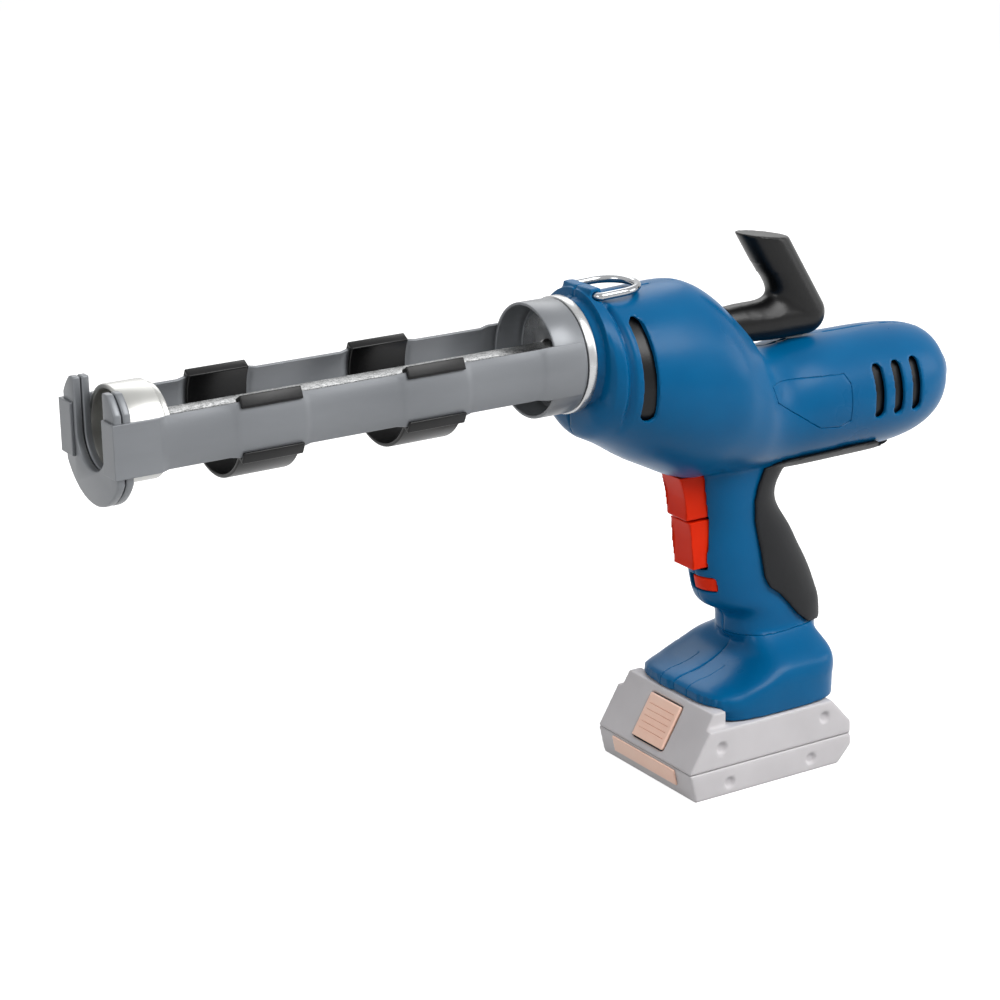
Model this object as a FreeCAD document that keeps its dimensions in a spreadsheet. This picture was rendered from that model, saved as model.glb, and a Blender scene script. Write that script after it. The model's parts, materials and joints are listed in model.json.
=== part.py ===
# Cordless caulking tool: a motor drives a toothed push rod through an open cartridge holder.
# Frame: +X forward to the nozzle end, +Y left, +Z up, origin at the centre of the battery's flat base.
import FreeCAD, Part
import math
import os
import re
from FreeCAD import Placement, Rotation, Vector

SIZES = {
    # shared clearances and cuts
    "wall": 2.6,
    "overrun": 3.0,
    "moving_gap": 0.35,
    "seat_gap": 0.05,
    "running_gap": 0.05,
    "fillet": 1.5,
    # push rod and its rack
    "axis_z": 221.5,
    "rod_width": 10.0,
    "rod_height": 12.0,
    "rod_rear_x": -24.0,
    "rod_front_x": 298.0,
    "tooth_module": 1.5,
    "backlash": 0.3,
    # piston on the rod's front end
    "piston_radius": 21.3,
    "piston_length": 17.0,
    "piston_wall": 2.2,
    "back_plate_radius": 19.5,
    "back_plate_thickness": 3.0,
    "piston_screw_radius": 2.5,
    "piston_screw_depth": 16.0,
    # cartridge holder
    "ring_radius": 26.6,
    "ring_wall": 1.5,
    "ring_rear_x": 96.9,
    "ring_length": 16.4,
    "ring_flange": 2.0,
    "rail_inner_radius": 25.3,
    "rail_wall": 1.5,
    "rail_half_height": 11.7,
    "joggle_ramp": 4.5,
    "saddle_length": 29.0,
    "saddle_lip": 1.6,
    "saddle_skirt": 3.2,
    "saddle_top": 2.0,
    "front_saddle_x": 241.5,
    "rear_saddle_x": 161.5,
    "flat_start_x": 303.0,
    "plate_front_x": 327.0,
    "plate_thickness": 3.6,
    "plate_gap": 0.4,
    "plate_radius": 29.2,
    "plate_top_rise": 22.6,
    "slot_radius": 14.1,
    "tab_inner_y": 15.5,
    # nose that carries the holder
    "nose_radius": 20.0,
    "nose_bore": 8.0,
    "nose_rear_x": 60.0,
    "nose_flange_radius": 21.5,
    "nose_flange_length": 4.0,
    "nose_lip": 2.0,
    "nose_lip_length": 1.6,
    "nut_radius": 27.2,
    "collar_radius": 30.0,
    "collar_front_x": 89.5,
    "collar_length": 8.0,
    "neck_radius": 24.2,
    "neck_front_x": 92.0,
    # casing: head, barrel, handle and foot
    "head_front_x": 90.0,
    "head_rear_x": -14.0,
    "head_half_height": 45.5,
    "head_half_width": 42.0,
    "barrel_radius": 30.5,
    "barrel_rear_x": -122.5,
    "tail_rise": 1.8,
    "rear_cap_radius": 15.5,
    "rear_cap_end_radius": 11.0,
    "rear_cap_length": 6.5,
    "handle_top_z": 165.0,
    "handle_bottom_z": 56.0,
    "handle_front_x": 18.0,
    "handle_rear_x": -53.0,
    "handle_half_width": 17.5,
    "foot_top_z": 68.0,
    "foot_bottom_z": 35.0,
    "foot_front_x": 29.0,
    "foot_rear_x": -49.5,
    "foot_half_width": 38.0,
    "foot_front_lip_z": 42.3,
    "foot_notch_x": 23.2,
    "grip_thickness": 2.0,
    # hanging lug and ring
    "lug_x": 82.5,
    "lug_length": 6.0,
    "lug_half_width": 11.5,
    "lug_rise": 31.5,
    "ring_pivot_rise": 27.8,
    "wire_radius": 1.9,
    "hanger_length": 27.5,
    "hanger_half_width": 13.9,
    "hanger_corner": 2.2,
    "hanger_tilt": 2.0,
    # vents
    "head_vent_x": 70.0,
    "head_vent_z": 217.0,
    "head_vent_width": 7.0,
    "head_vent_height": 46.0,
    "rear_vent_x": -83.0,
    "rear_vent_z": 184.0,
    "rear_vent_pitch": 11.8,
    "rear_vent_width": 6.0,
    "rear_vent_height": 26.0,
    "baffle_thickness": 1.4,
    # pull handle on the rod's rear end
    "pull_radius": 10.7,
    "pull_neck_radius": 8.8,
    "pull_front_x": 3.0,
    "pull_taper_x": -25.0,
    "pull_corner_x": -45.3,
    "pull_lean": 32.0,
    "pull_tip_length": 48.9,
    "pull_tip_slope": 9.0,
    "pull_pin_radius": 2.0,
    # rack pinion shaft, clutch and crown stage
    "drive_x": 28.0,
    "shaft_radius": 4.0,
    "shaft_half_length": 22.4,
    "pinion_teeth": 12,
    "pinion_half_width": 6.0,
    "clutch_teeth": 24,
    "spur_teeth": 14,
    "spur_y": 9.3,
    "spur_width": 4.0,
    "clutch_disc_radius": 12.0,
    "clutch_disc_thickness": 1.6,
    "clutch_spring_radius": 8.0,
    "crown_teeth": 20,
    "face_teeth": 10,
    "crown_face": 2.0,
    "crown_thickness": 3.2,
    "hub_radius": 7.0,
    "frame_y": 19.0,
    "frame_thickness": 3.0,
    "guide_x": 50.0,
    "guide_length": 5.0,
    "guide_rise": 13.5,
    "guide_drop": 10.5,
    "guide_gap": 0.2,
    "bush_radius": 6.5,
    "post_radius": 2.5,
    # planetary gearbox
    "planet_module": 0.8,
    "sun_teeth": 12,
    "planet_teeth": 15,
    "planet_width": 10.0,
    "planet_pin_radius": 2.4,
    "gear_backlash": 0.22,
    "ring_gear_radius": 19.5,
    "ring_gear_skirt": 1.6,
    "case_radius": 22.0,
    "case_front_x": 4.0,
    "case_rear_x": -36.0,
    "case_front_wall": 6.0,
    "case_flange_radius": 27.3,
    "case_flange_length": 4.0,
    "carrier_radius": 15.0,
    "carrier_thickness": 4.5,
    "carrier_front_x": -15.0,
    "output_radius": 5.0,
    "bearing_radius": 9.0,
    "face_pinion_length": 8.0,
    # motor
    "can_radius": 18.5,
    "can_length": 56.0,
    "can_wall": 1.4,
    "magnet_thickness": 2.6,
    "rotor_radius": 13.6,
    "rotor_length": 36.0,
    "motor_shaft_radius": 2.0,
    "end_cap_length": 4.0,
    "commutator_radius": 6.0,
    "brush_width": 4.0,
    "fan_radius": 19.0,
    "fan_width": 6.0,
    "motor_rib_length": 4.0,
    # trigger, lock and switch
    "trigger_front_x": 26.5,
    "trigger_top_z": 129.5,
    "trigger_bottom_z": 105.5,
    "trigger_half_width": 8.0,
    "trigger_rear_x": 14.0,
    "upper_trigger_top_z": 153.0,
    "upper_trigger_bottom_z": 131.0,
    "upper_trigger_front_x": 32.5,
    "stem_radius": 2.5,
    "switch_front_x": 4.0,
    "switch_rear_x": -14.0,
    "switch_half_width": 9.0,
    "switch_top_z": 152.0,
    "switch_bottom_z": 110.0,
    "lock_rear_x": 8.0,
    "lock_z": 96.3,
    "lock_height": 6.8,
    "lock_inner_y": 1.6,
    "lock_outer_y": 10.5,
    "lock_travel": 3.0,
    # electrics in the foot
    "terminal_length": 9.0,
    "terminal_gap": 1.6,
    "terminal_half_width": 18.0,
    "terminal_top_z": 48.0,
    "blade_length": 11.0,
    "blade_thickness": 1.0,
    "blade_pitch": 8.0,
    "board_thickness": 1.6,
    "board_length": 34.0,
    "board_half_width": 16.0,
    # casing screws
    "screw_radius": 1.6,
    "screw_head_radius": 3.2,
    "screw_head_height": 2.4,
    "boss_radius": 4.2,
    # battery pack
    "battery_front_x": 47.0,
    "battery_rear_x": -51.4,
    "battery_half_width": 39.0,
    "battery_split_z": 14.5,
    "battery_top_z": 34.5,
    "battery_nose_z": 41.9,
    "battery_nose_half_width": 35.5,
    "battery_wall": 2.2,
    "tower_half_width": 29.0,
    "tower_neck": 4.0,
    "tower_front_x": 22.0,
    "tower_rear_x": -34.0,
    "tower_lip_z": 38.9,
    "tower_top_z": 41.6,
    "cell_radius": 9.0,
    "cell_length": 65.0,
    "cell_pitch": 15.7,
    "cell_first_x": 25.0,
    "cell_low_z": 11.4,
    "cell_step_z": 9.0,
    "button_length": 23.5,
    "button_half_width": 12.8,
    "button_depth": 3.0,
    "button_rise": 0.8,
    "strip_height": 8.5,
    "strip_half_width": 26.0,
    "strip_thickness": 1.2,
    "battery_screw_radius": 1.2,
    "battery_head_radius": 2.5,
    "battery_boss_radius": 2.0,
    "battery_screw_x": 18.0,
    "battery_screw_y": 34.7,
}

doc = FreeCAD.newDocument("caulking_tool")
sheet = doc.addObject("Spreadsheet::Sheet", "dim")
for row, (alias, number) in enumerate(SIZES.items(), start=1):
    sheet.set(f"A{row}", alias)
    sheet.set(f"B{row}", str(number))
    sheet.setAlias(f"B{row}", alias)
doc.recompute()

NODES = []


def mm(alias):
    """The number that the sheet holds under this alias."""
    return float(sheet.get(alias))


def count(alias):
    return int(round(mm(alias)))


def linked(text):
    """The expression with each alias pointed at the sheet."""
    return re.sub(r"[a-z_]+", lambda word: f"dim.{word[0]}" if word[0] in SIZES else word[0], text)


def bind(obj, **expressions):
    for name, text in expressions.items():
        obj.setExpression(name.replace("__", "."), linked(text))


def put(obj, place):
    """Binds an object's position to three expressions."""
    for letter, text in zip("xyz", place):
        obj.setExpression(f"Placement.Base.{letter}", linked(text))


TURN = {
    "x": Rotation(Vector(0, 1, 0), 90),
    "y": Rotation(Vector(1, 0, 0), -90),
    "z": Rotation(),
}


def cylinder(name, axis, radius, length, place):
    obj = doc.addObject("Part::Cylinder", name)
    obj.Placement = Placement(Vector(), TURN[axis])
    bind(obj, Radius=radius, Height=length)
    put(obj, place)
    return obj


def cone(name, axis, first, second, length, place):
    obj = doc.addObject("Part::Cone", name)
    obj.Placement = Placement(Vector(), TURN[axis])
    bind(obj, Radius1=first, Radius2=second, Height=length)
    put(obj, place)
    return obj


def box(name, low, high):
    """A box between two corners, each given as three expressions."""
    obj = doc.addObject("Part::Box", name)
    sides = ("Length", "Width", "Height")
    for side, start, end in zip(sides, low, high):
        obj.setExpression(side, linked(f"({end}) - ({start})"))
    put(obj, low)
    return obj


def fuse(name, *pieces):
    obj = doc.addObject("Part::MultiFuse", name)
    obj.Shapes = list(pieces)
    return obj


def cut(name, base, *tools):
    obj = doc.addObject("Part::Cut", name)
    obj.Base = base
    obj.Tool = tools[0] if len(tools) == 1 else fuse(name + "_tools", *tools)
    return obj


def common(name, *pieces):
    obj = doc.addObject("Part::MultiCommon", name)
    obj.Shapes = list(pieces)
    return obj


def feature(name, shape):
    obj = doc.addObject("Part::Feature", name)
    place = shape.Placement
    obj.Shape = shape
    obj.Placement = place
    return obj


def node(obj, label):
    """Marks a finished sub-part; the label names its file."""
    obj.Label = label
    NODES.append(obj)
    return obj


# heights and radii that follow from the gear train
RACK_PITCH_Z = mm("axis_z") - mm("rod_height") / 2 + mm("tooth_module")
PINION_R = count("pinion_teeth") * mm("tooth_module") / 2
PINION_Z = RACK_PITCH_Z - PINION_R
CLUTCH_R = count("clutch_teeth") * mm("tooth_module") / 2
SPUR_R = count("spur_teeth") * mm("tooth_module") / 2
MOTOR_Z = PINION_Z - CLUTCH_R - SPUR_R
pinion_z = "axis_z - rod_height / 2 + tooth_module - pinion_teeth * tooth_module / 2"
motor_z = f"{pinion_z} - (clutch_teeth + spur_teeth) * tooth_module / 2"


def loop(points):
    """A closed smooth wire through the points."""
    curve = Part.BSplineCurve()
    curve.interpolate(points, PeriodicFlag=True)
    return Part.Wire(curve.toShape())


def squircle(half_u, half_v, power, steps):
    """Points of a rounded outline, from an ellipse at power 2 towards a box at high power."""
    points = []
    for step in range(steps):
        angle = 2 * math.pi * step / steps
        cosine, sine = math.cos(angle), math.sin(angle)
        u = math.copysign(abs(cosine) ** (2 / power), cosine) * half_u
        v = math.copysign(abs(sine) ** (2 / power), sine) * half_v
        points.append((u, v))
    return points


# head: station along the head, centre height, half height and half width
HEAD_SHARES = [
    (1.000, 0.976, 0.637, 0.702),
    (0.942, 0.839, 0.764, 0.810),
    (0.827, 0.738, 0.813, 0.905),
    (0.721, 0.655, 0.890, 0.952),
    (0.615, 0.595, 0.956, 0.988),
    (0.500, 0.529, 1.026, 1.000),
    (0.404, 0.480, 1.047, 1.000),
    (0.288, 0.396, 0.970, 0.976),
    (0.202, 0.269, 0.905, 0.905),
    (0.115, 0.146, 0.805, 0.833),
    (0.058, 0.048, 0.721, 0.767),
]
# barrel: station from the head to the rear end, share of the radius and of the tail's rise
BARREL_SHARES = [(0, 1, 0), (0.2, 1, 0), (0.404, 0.997, 0), (0.6, 0.99, 0), (0.74, 0.963, 0.1),
                 (0.85, 0.9, 0.35), (0.94, 0.78, 0.75), (1, 0.58, 1)]
# handle: height, front and rear of the section along the handle's depth, half width
HANDLE_SHARES = [
    (1.000, 1.085, 0.324, 1.10),
    (0.862, 1.028, 0.366, 1.06),
    (0.716, 1.000, 0.423, 0.98),
    (0.606, 0.993, 0.317, 0.95),
    (0.440, 1.000, 0.169, 0.97),
    (0.376, 0.983, 0.116, 0.97),
    (0.312, 0.958, 0.073, 0.98),
    (0.257, 0.905, 0.042, 1.00),
    (0.216, 0.785, 0.026, 1.02),
    (0.165, 0.742, 0.018, 1.03),
    (0.092, 0.730, 0.018, 1.06),
    (0.000, 0.728, 0.028, 1.12),
]
# foot: height, front and rear of the plan, half width
FOOT_SHARES = [
    (0.000, 1.00, 0.000, 1.00),
    (0.150, 1.00, 0.000, 1.00),
    (0.290, 0.99, 0.000, 1.00),
    (0.370, 0.93, 0.000, 1.00),
    (0.455, 0.84, 0.000, 1.00),
    (0.545, 0.73, 0.005, 0.98),
    (0.636, 0.65, 0.010, 0.95),
    (0.720, 0.60, 0.015, 0.87),
    (0.830, 0.57, 0.030, 0.71),
    (0.940, 0.56, 0.045, 0.56),
    (1.000, 0.56, 0.050, 0.50),
]
SECTION_STEPS = 24
OVAL_POWER = 2.0
HANDLE_POWER = 2.5
FOOT_POWER = 4.2


def upright_section(x, z, half_height, half_width):
    outline = squircle(half_width, half_height, OVAL_POWER, SECTION_STEPS)
    return loop([Vector(x, u, z + v) for u, v in outline])


def level_section(z, front, rear, half_width, power):
    outline = squircle((front - rear) / 2, half_width, power, SECTION_STEPS)
    return loop([Vector((front + rear) / 2 + u, v, z) for u, v in outline])


def trunk(inset):
    """Head and barrel as one lofted form, drawn in by inset."""
    span = mm("head_front_x") - mm("head_rear_x")
    lift = mm("axis_z") - MOTOR_Z
    sections = []
    for along, rise, tall, wide in HEAD_SHARES:
        x = mm("head_rear_x") + along * span - (inset if along == 1 else 0)
        sections.append(upright_section(x, MOTOR_Z + rise * lift, tall * mm("head_half_height") - inset,
                                        wide * mm("head_half_width") - inset))
    reach = mm("barrel_rear_x") - mm("head_rear_x")
    for along, share, rise in BARREL_SHARES:
        x = mm("head_rear_x") + along * reach + (inset if along == 1 else 0)
        radius = share * mm("barrel_radius") - inset
        sections.append(upright_section(x, MOTOR_Z + rise * mm("tail_rise"), radius, radius))
    return Part.makeLoft(sections, True)


def handle(inset):
    depth = mm("handle_front_x") - mm("handle_rear_x")
    height = mm("handle_top_z") - mm("handle_bottom_z")
    sections = []
    for along, front, rear, wide in HANDLE_SHARES:
        sections.append(level_section(
            mm("handle_bottom_z") + along * height,
            mm("handle_rear_x") + front * depth - inset,
            mm("handle_rear_x") + rear * depth + inset,
            wide * mm("handle_half_width") - inset, HANDLE_POWER))
    return Part.makeLoft(sections, True)


def foot(inset):
    depth = mm("foot_front_x") - mm("foot_rear_x")
    height = mm("foot_top_z") - mm("foot_bottom_z")
    sections = []
    for along, front, rear, wide in FOOT_SHARES:
        drop = mm("overrun") if along == 0 and inset > 0 else inset * along
        sections.append(level_section(
            mm("foot_bottom_z") + along * height - drop,
            mm("foot_rear_x") + front * depth - inset,
            mm("foot_rear_x") + rear * depth + inset,
            wide * mm("foot_half_width") - inset, FOOT_POWER))
    return Part.makeLoft(sections, True)


def x_cylinder(radius, start, end, z):
    return Part.makeCylinder(radius, end - start, Vector(start, 0, z), Vector(1, 0, 0))


def y_cylinder(radius, start, end, x, z):
    return Part.makeCylinder(radius, end - start, Vector(x, start, z), Vector(0, 1, 0))


def block(low, high):
    corner = Vector(*low)
    return Part.makeBox(high[0] - low[0], high[1] - low[1], high[2] - low[2], corner)


def side_prism(outline, half_width):
    """A side outline of x and z points, pulled out across the tool."""
    points = [Vector(x, -half_width, z) for x, z in outline]
    face = Part.Face(Part.makePolygon(points + points[:1]))
    return face.extrude(Vector(0, 2 * half_width, 0))


def slot_prism(x, z, width, height, inner_y, outer_y):
    """An upright slot with round ends, cut in from the side."""
    radius = width / 2
    straight = height / 2 - radius
    middle = block((x - radius, inner_y, z - straight), (x + radius, outer_y, z + straight))
    ends = [y_cylinder(radius, inner_y, outer_y, x, z + way * straight) for way in (-1, 1)]
    return middle.fuse(ends)


def rear_vents(grow):
    """Slot shapes of the barrel's rear vents on the left side, grown for the baffles."""
    slots = []
    for step in range(3):
        x = mm("rear_vent_x") + (1 - step) * mm("rear_vent_pitch")
        slots.append((x, mm("rear_vent_z"), mm("rear_vent_width") + grow, mm("rear_vent_height") + grow))
    return slots


def vent_slots(grow):
    """Every vent on both sides as cutting prisms."""
    head = (mm("head_vent_x"), mm("head_vent_z"), mm("head_vent_width") + grow,
            mm("head_vent_height") + grow)
    outer = mm("head_half_width") + mm("overrun")
    inner = mm("can_radius")
    prisms = []
    for x, z, width, height in [head] + rear_vents(grow):
        prisms.append(slot_prism(x, z, width, height, inner, outer))
        prisms.append(slot_prism(x, z, width, height, -outer, -inner))
    return prisms


# casing screws: place along the head, barrel, handle and foot they sit in
HEAD_SCREW_SHARE = 0.80
TAIL_SCREW_SHARE = 0.12
HANDLE_SCREW_SHARES = (0.53, 0.14)
FOOT_SCREW_SHARE = 0.62


def screw_places():
    head_span = mm("head_front_x") - mm("head_rear_x")
    barrel_span = mm("head_rear_x") - mm("barrel_rear_x")
    handle_depth = mm("handle_front_x") - mm("handle_rear_x")
    handle_height = mm("handle_top_z") - mm("handle_bottom_z")
    foot_span = mm("foot_front_x") - mm("foot_rear_x")
    along_share, up_share = HANDLE_SCREW_SHARES
    return [
        (mm("head_rear_x") + HEAD_SCREW_SHARE * head_span, MOTOR_Z + mm("boss_radius")),
        (mm("barrel_rear_x") + TAIL_SCREW_SHARE * barrel_span, MOTOR_Z),
        (mm("drive_x"), mm("axis_z") + mm("rod_height") + mm("boss_radius")),
        (mm("handle_rear_x") + along_share * handle_depth,
         mm("handle_bottom_z") + up_share * handle_height),
        (mm("foot_rear_x") + FOOT_SCREW_SHARE * foot_span,
         mm("foot_front_lip_z") + mm("boss_radius") + mm("wall")),
    ]


def casing_outer():
    z = mm("axis_z")
    collar = x_cylinder(mm("collar_radius"), mm("collar_front_x") - mm("collar_length"),
                        mm("collar_front_x"), z)
    neck = x_cylinder(mm("neck_radius"), mm("nose_rear_x"), mm("neck_front_x"), z)
    lug_low = (mm("lug_x") - mm("lug_length") / 2, -mm("lug_half_width"), z)
    lug_high = (mm("lug_x") + mm("lug_length") / 2, mm("lug_half_width"), z + mm("lug_rise"))
    lug = block(lug_low, lug_high)
    edges = [edge for edge in lug.Edges if min(v.Z for v in edge.Vertexes) > z]
    lug = lug.makeFillet(mm("fillet"), edges)
    return trunk(0).fuse([handle(0), foot(0), collar, neck, lug])


def casing_cavity():
    return trunk(mm("wall")).fuse([handle(mm("wall")), foot(mm("wall"))])


OUTER = casing_outer()
CAVITY = casing_cavity()


LUG_CORE_SHARE = 1 / 3


def casing_cuts():
    """Everything that is opened through the casing's wall."""
    z = mm("axis_z")
    over = mm("overrun")
    nose = x_cylinder(mm("nose_radius") + mm("seat_gap"), mm("nose_rear_x"), mm("neck_front_x") + over, z)
    gap = 2 * mm("moving_gap")
    neck_x, taper_x = mm("pull_front_x"), mm("pull_taper_x")
    rod_way = x_cylinder(mm("pull_neck_radius") + gap, neck_x, neck_x + mm("collar_radius") / 2, z)
    arm_way = Part.makeCone(mm("pull_neck_radius") + gap, mm("pull_radius") + gap, neck_x - taper_x,
                            Vector(neck_x, 0, z), Vector(-1, 0, 0))
    tail_way = x_cylinder(mm("pull_radius") + gap, mm("barrel_rear_x") - over, taper_x, z)
    trigger_way = block(
        (mm("switch_front_x"), -mm("trigger_half_width") - mm("moving_gap"),
         mm("trigger_bottom_z") - over / 2),
        (mm("upper_trigger_front_x") + over, mm("trigger_half_width") + mm("moving_gap"),
         mm("upper_trigger_top_z") + over / 2))
    lock_rise = mm("lock_height") / 2 + mm("moving_gap")
    lock_end = mm("lock_inner_y") + mm("lock_travel") + mm("moving_gap")
    lock_way = block((mm("lock_rear_x") - mm("moving_gap"), -lock_end, mm("lock_z") - lock_rise),
                     (mm("handle_front_x") + over, mm("lock_outer_y") + mm("moving_gap"),
                      mm("lock_z") + lock_rise))
    pivot_z = z + mm("ring_pivot_rise")
    pivot_r = mm("wire_radius") + mm("running_gap")
    depth = LUG_CORE_SHARE * mm("lug_half_width")
    pivots = [y_cylinder(pivot_r, low, high, mm("lug_x"), pivot_z)
              for low, high in ((depth, mm("lug_half_width") + over), (-mm("lug_half_width") - over,
                      -depth))]
    relief_r, relief_y = mm("wire_radius") + mm("moving_gap"), mm("hanger_half_width")
    pivots += [y_cylinder(relief_r, low, high, mm("lug_x"), pivot_z)
               for low, high in ((mm("lug_half_width"), relief_y), (-relief_y, -mm("lug_half_width")))]
    return [nose, rod_way, arm_way, tail_way, trigger_way, lock_way] + pivots + vent_slots(0)


def battery_way():
    """The opening in the foot's front that the pack's upper block and raised front slide through."""
    tower = mm("tower_half_width") + mm("moving_gap") * 2
    low, end = mm("foot_bottom_z") - mm("overrun"), mm("foot_front_x") + 2 * mm("overrun")
    way = block((mm("tower_rear_x"), -tower, low), (end, tower, mm("foot_front_lip_z")))
    wide = mm("foot_half_width") + mm("overrun")
    notch = block((mm("foot_notch_x"), -wide, low), (end, wide, mm("foot_front_lip_z")))
    return way.fuse(notch)


MOTOR_RIB_SHARE = 0.3


def casing_ribs():
    """Bosses, motor rib and switch rails inside the casing, trimmed to its inside."""
    wide = mm("head_half_width")
    bosses = [y_cylinder(mm("boss_radius"), -wide, wide, x, z) for x, z in screw_places()]
    rib_start = mm("case_rear_x") - MOTOR_RIB_SHARE * mm("can_length")
    rib = x_cylinder(mm("barrel_radius"), rib_start, rib_start + mm("motor_rib_length"), MOTOR_Z)
    rib = rib.cut(x_cylinder(mm("can_radius") + mm("seat_gap"), rib_start - mm("overrun"),
                             rib_start + mm("motor_rib_length") + mm("overrun"), MOTOR_Z))
    rails = []
    for low_z, high_z in ((mm("switch_bottom_z") + mm("wall"), mm("switch_bottom_z") + 3 * mm("wall")),
                          (mm("switch_top_z") - 3 * mm("wall"), mm("switch_top_z") - mm("wall"))):
        for way in (-1, 1):
            inner = way * (mm("switch_half_width") + mm("seat_gap"))
            outer = way * mm("handle_half_width") * 2
            rails.append(block((mm("switch_rear_x") + mm("wall"), min(inner, outer), low_z),
                               (mm("switch_front_x") - mm("wall"), max(inner, outer), high_z)))
    lip_low = mm("foot_bottom_z") + mm("moving_gap")
    lip_high = mm("tower_lip_z") - mm("moving_gap")
    inner = mm("tower_half_width") - mm("tower_neck") + mm("moving_gap")
    lips = []
    for way in (-1, 1):
        low_y, high_y = sorted((way * inner, way * mm("foot_half_width")))
        lips.append(block((mm("tower_rear_x"), low_y, lip_low), (mm("foot_notch_x"), high_y, lip_high)))
    ribs = bosses[0].fuse(bosses[1:] + [rib] + rails + lips)
    return ribs.common(OUTER)


def screw_holes():
    """Holes for the casing screws, entered from the right-hand side."""
    holes = []
    deep = mm("boss_radius") * 2
    for x, z in screw_places():
        holes.append(y_cylinder(mm("screw_radius") + mm("seat_gap"), -mm("head_half_width") * 2, deep, x,
                                z))
        holes.append(y_cylinder(mm("screw_head_radius") + mm("seat_gap"), -mm("head_half_width") * 2,
                                -deep, x, z))
    return holes


def make_casing():
    shell = OUTER.cut([CAVITY, battery_way()]).fuse(casing_ribs())
    shell = shell.cut(casing_cuts() + screw_holes())
    far = 2 * mm("axis_z")
    left = shell.common(block((-far, 0, -far), (far, far, 2 * far)))
    right = shell.common(block((-far, -far, -far), (far, 0, 2 * far)))
    node(feature("housing_left", left), "housing_left")
    node(feature("housing_right", right), "housing_right")


def make_screws():
    screws = []
    deep = mm("boss_radius") * 2
    for x, z in screw_places():
        head = y_cylinder(mm("screw_head_radius"), -deep - mm("screw_head_height"), -deep, x, z)
        shank = y_cylinder(mm("screw_radius"), -deep, deep - mm("seat_gap"), x, z)
        screws.append(head.fuse(shank))
    node(feature("housing_screws", Part.makeCompound(screws)), "housing_screws")


def make_rear_cap():
    cap = cone("rear_cap", "x", "rear_cap_end_radius", "rear_cap_radius", "rear_cap_length",
               ("barrel_rear_x - rear_cap_length", "0", f"{motor_z} + tail_rise"))
    node(cap, "rear_cap")


# soft grip: its front edge seen from the side, then the strip under the barrel and its pointed rear end
GRIP_EDGE_SHARES = [(0.620, 0.899), (0.662, 0.826), (0.680, 0.752), (0.668, 0.656), (0.620, 0.514),
                    (0.582, 0.385),
                    (0.535, 0.330), (0.450, 0.290), (0.366, 0.227), (0.296, 0.174), (0.211,
                            0.128), (0.099, 0.115)]
GRIP_STRIP_SHARES = [(-1.0, 0.115), (-1.0, 0.850), (-0.437, 0.862), (-0.338, 0.923), (-0.113, 0.927),
                     (0.155, 0.922),
                     (0.408, 0.917)]


def grip_outline():
    """The grip's front edge down the handle, then round behind it and along under the barrel."""
    depth = mm("handle_front_x") - mm("handle_rear_x")
    height = mm("handle_top_z") - mm("handle_bottom_z")
    return [(mm("handle_rear_x") + along * depth, mm("handle_bottom_z") + up * height)
            for along, up in GRIP_EDGE_SHARES + GRIP_STRIP_SHARES]


def make_grip():
    """Soft skin over the handle's back and the barrel's underside."""
    thick = mm("grip_thickness")
    skin = trunk(-thick).fuse(handle(-thick))
    skin = skin.common(side_prism(grip_outline(), mm("head_half_width") * 2))
    skin = skin.cut(OUTER)
    solids = sorted(skin.Solids, key=lambda solid: solid.Volume)
    node(feature("grip_pad", solids[-1]), "grip_pad")


def make_baffles():
    """Dark plates close behind the vent slots, following the casing's inside."""
    near, deep = trunk(mm("wall") + mm("seat_gap")), trunk(mm("wall") + mm("baffle_thickness"))
    plates = []
    for prism in vent_slots(mm("wall")):
        plates += prism.common(near).cut(deep).Solids
    node(feature("vent_baffles", Part.makeCompound(plates)), "vent_baffles")


# cartridge holder
def sector(profile, start_deg, sweep_deg):
    """A profile of x and radius points turned about the rod axis, angles from +Y towards +Z."""
    points = [Vector(x, radius, 0) for x, radius in profile]
    face = Part.Face(Part.makePolygon(points + points[:1]))
    solid = face.revolve(Vector(), Vector(1, 0, 0), sweep_deg)
    solid.rotate(Vector(), Vector(1, 0, 0), start_deg)
    solid.translate(Vector(0, 0, mm("axis_z")))
    return solid


def rail_angle():
    return math.degrees(math.asin(mm("rail_half_height") / (mm("rail_inner_radius") + mm("rail_wall"))))


def rail_profile():
    """Inner edge of the rail along X: raised over the ring and over each saddle."""
    low, high = mm("rail_inner_radius"), mm("ring_radius") + mm("seat_gap")
    ramp, gap = mm("joggle_ramp"), mm("seat_gap")
    inner = [(mm("ring_rear_x") + mm("ring_flange"), high),
             (mm("ring_rear_x") + mm("ring_length") + ramp, high)]
    inner.append((inner[-1][0] + ramp, low))
    for start in (mm("rear_saddle_x"), mm("front_saddle_x")):
        end = start + mm("saddle_length")
        inner += [(start - gap - ramp, low), (start - gap, high), (end + gap, high), (end + gap + ramp,
                low)]
    inner.append((mm("flat_start_x"), low))
    outer = [(x, radius + mm("rail_wall")) for x, radius in reversed(inner)]
    return inner + outer


def arc_section(x, radius_in, radius_out, half_angle):
    """The rail's curved section at one station."""
    def point(radius, degrees):
        turn = math.radians(degrees)
        return Vector(x, radius * math.cos(turn), mm("axis_z") + radius * math.sin(turn))
    outer = Part.Arc(point(radius_out, -half_angle), point(radius_out, 0), point(radius_out, half_angle))
    inner = Part.Arc(point(radius_in, half_angle), point(radius_in, 0), point(radius_in, -half_angle))
    top = Part.LineSegment(point(radius_out, half_angle), point(radius_in, half_angle))
    bottom = Part.LineSegment(point(radius_in, -half_angle), point(radius_out, -half_angle))
    return Part.Wire([outer.toShape(), top.toShape(), inner.toShape(), bottom.toShape()])


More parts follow.
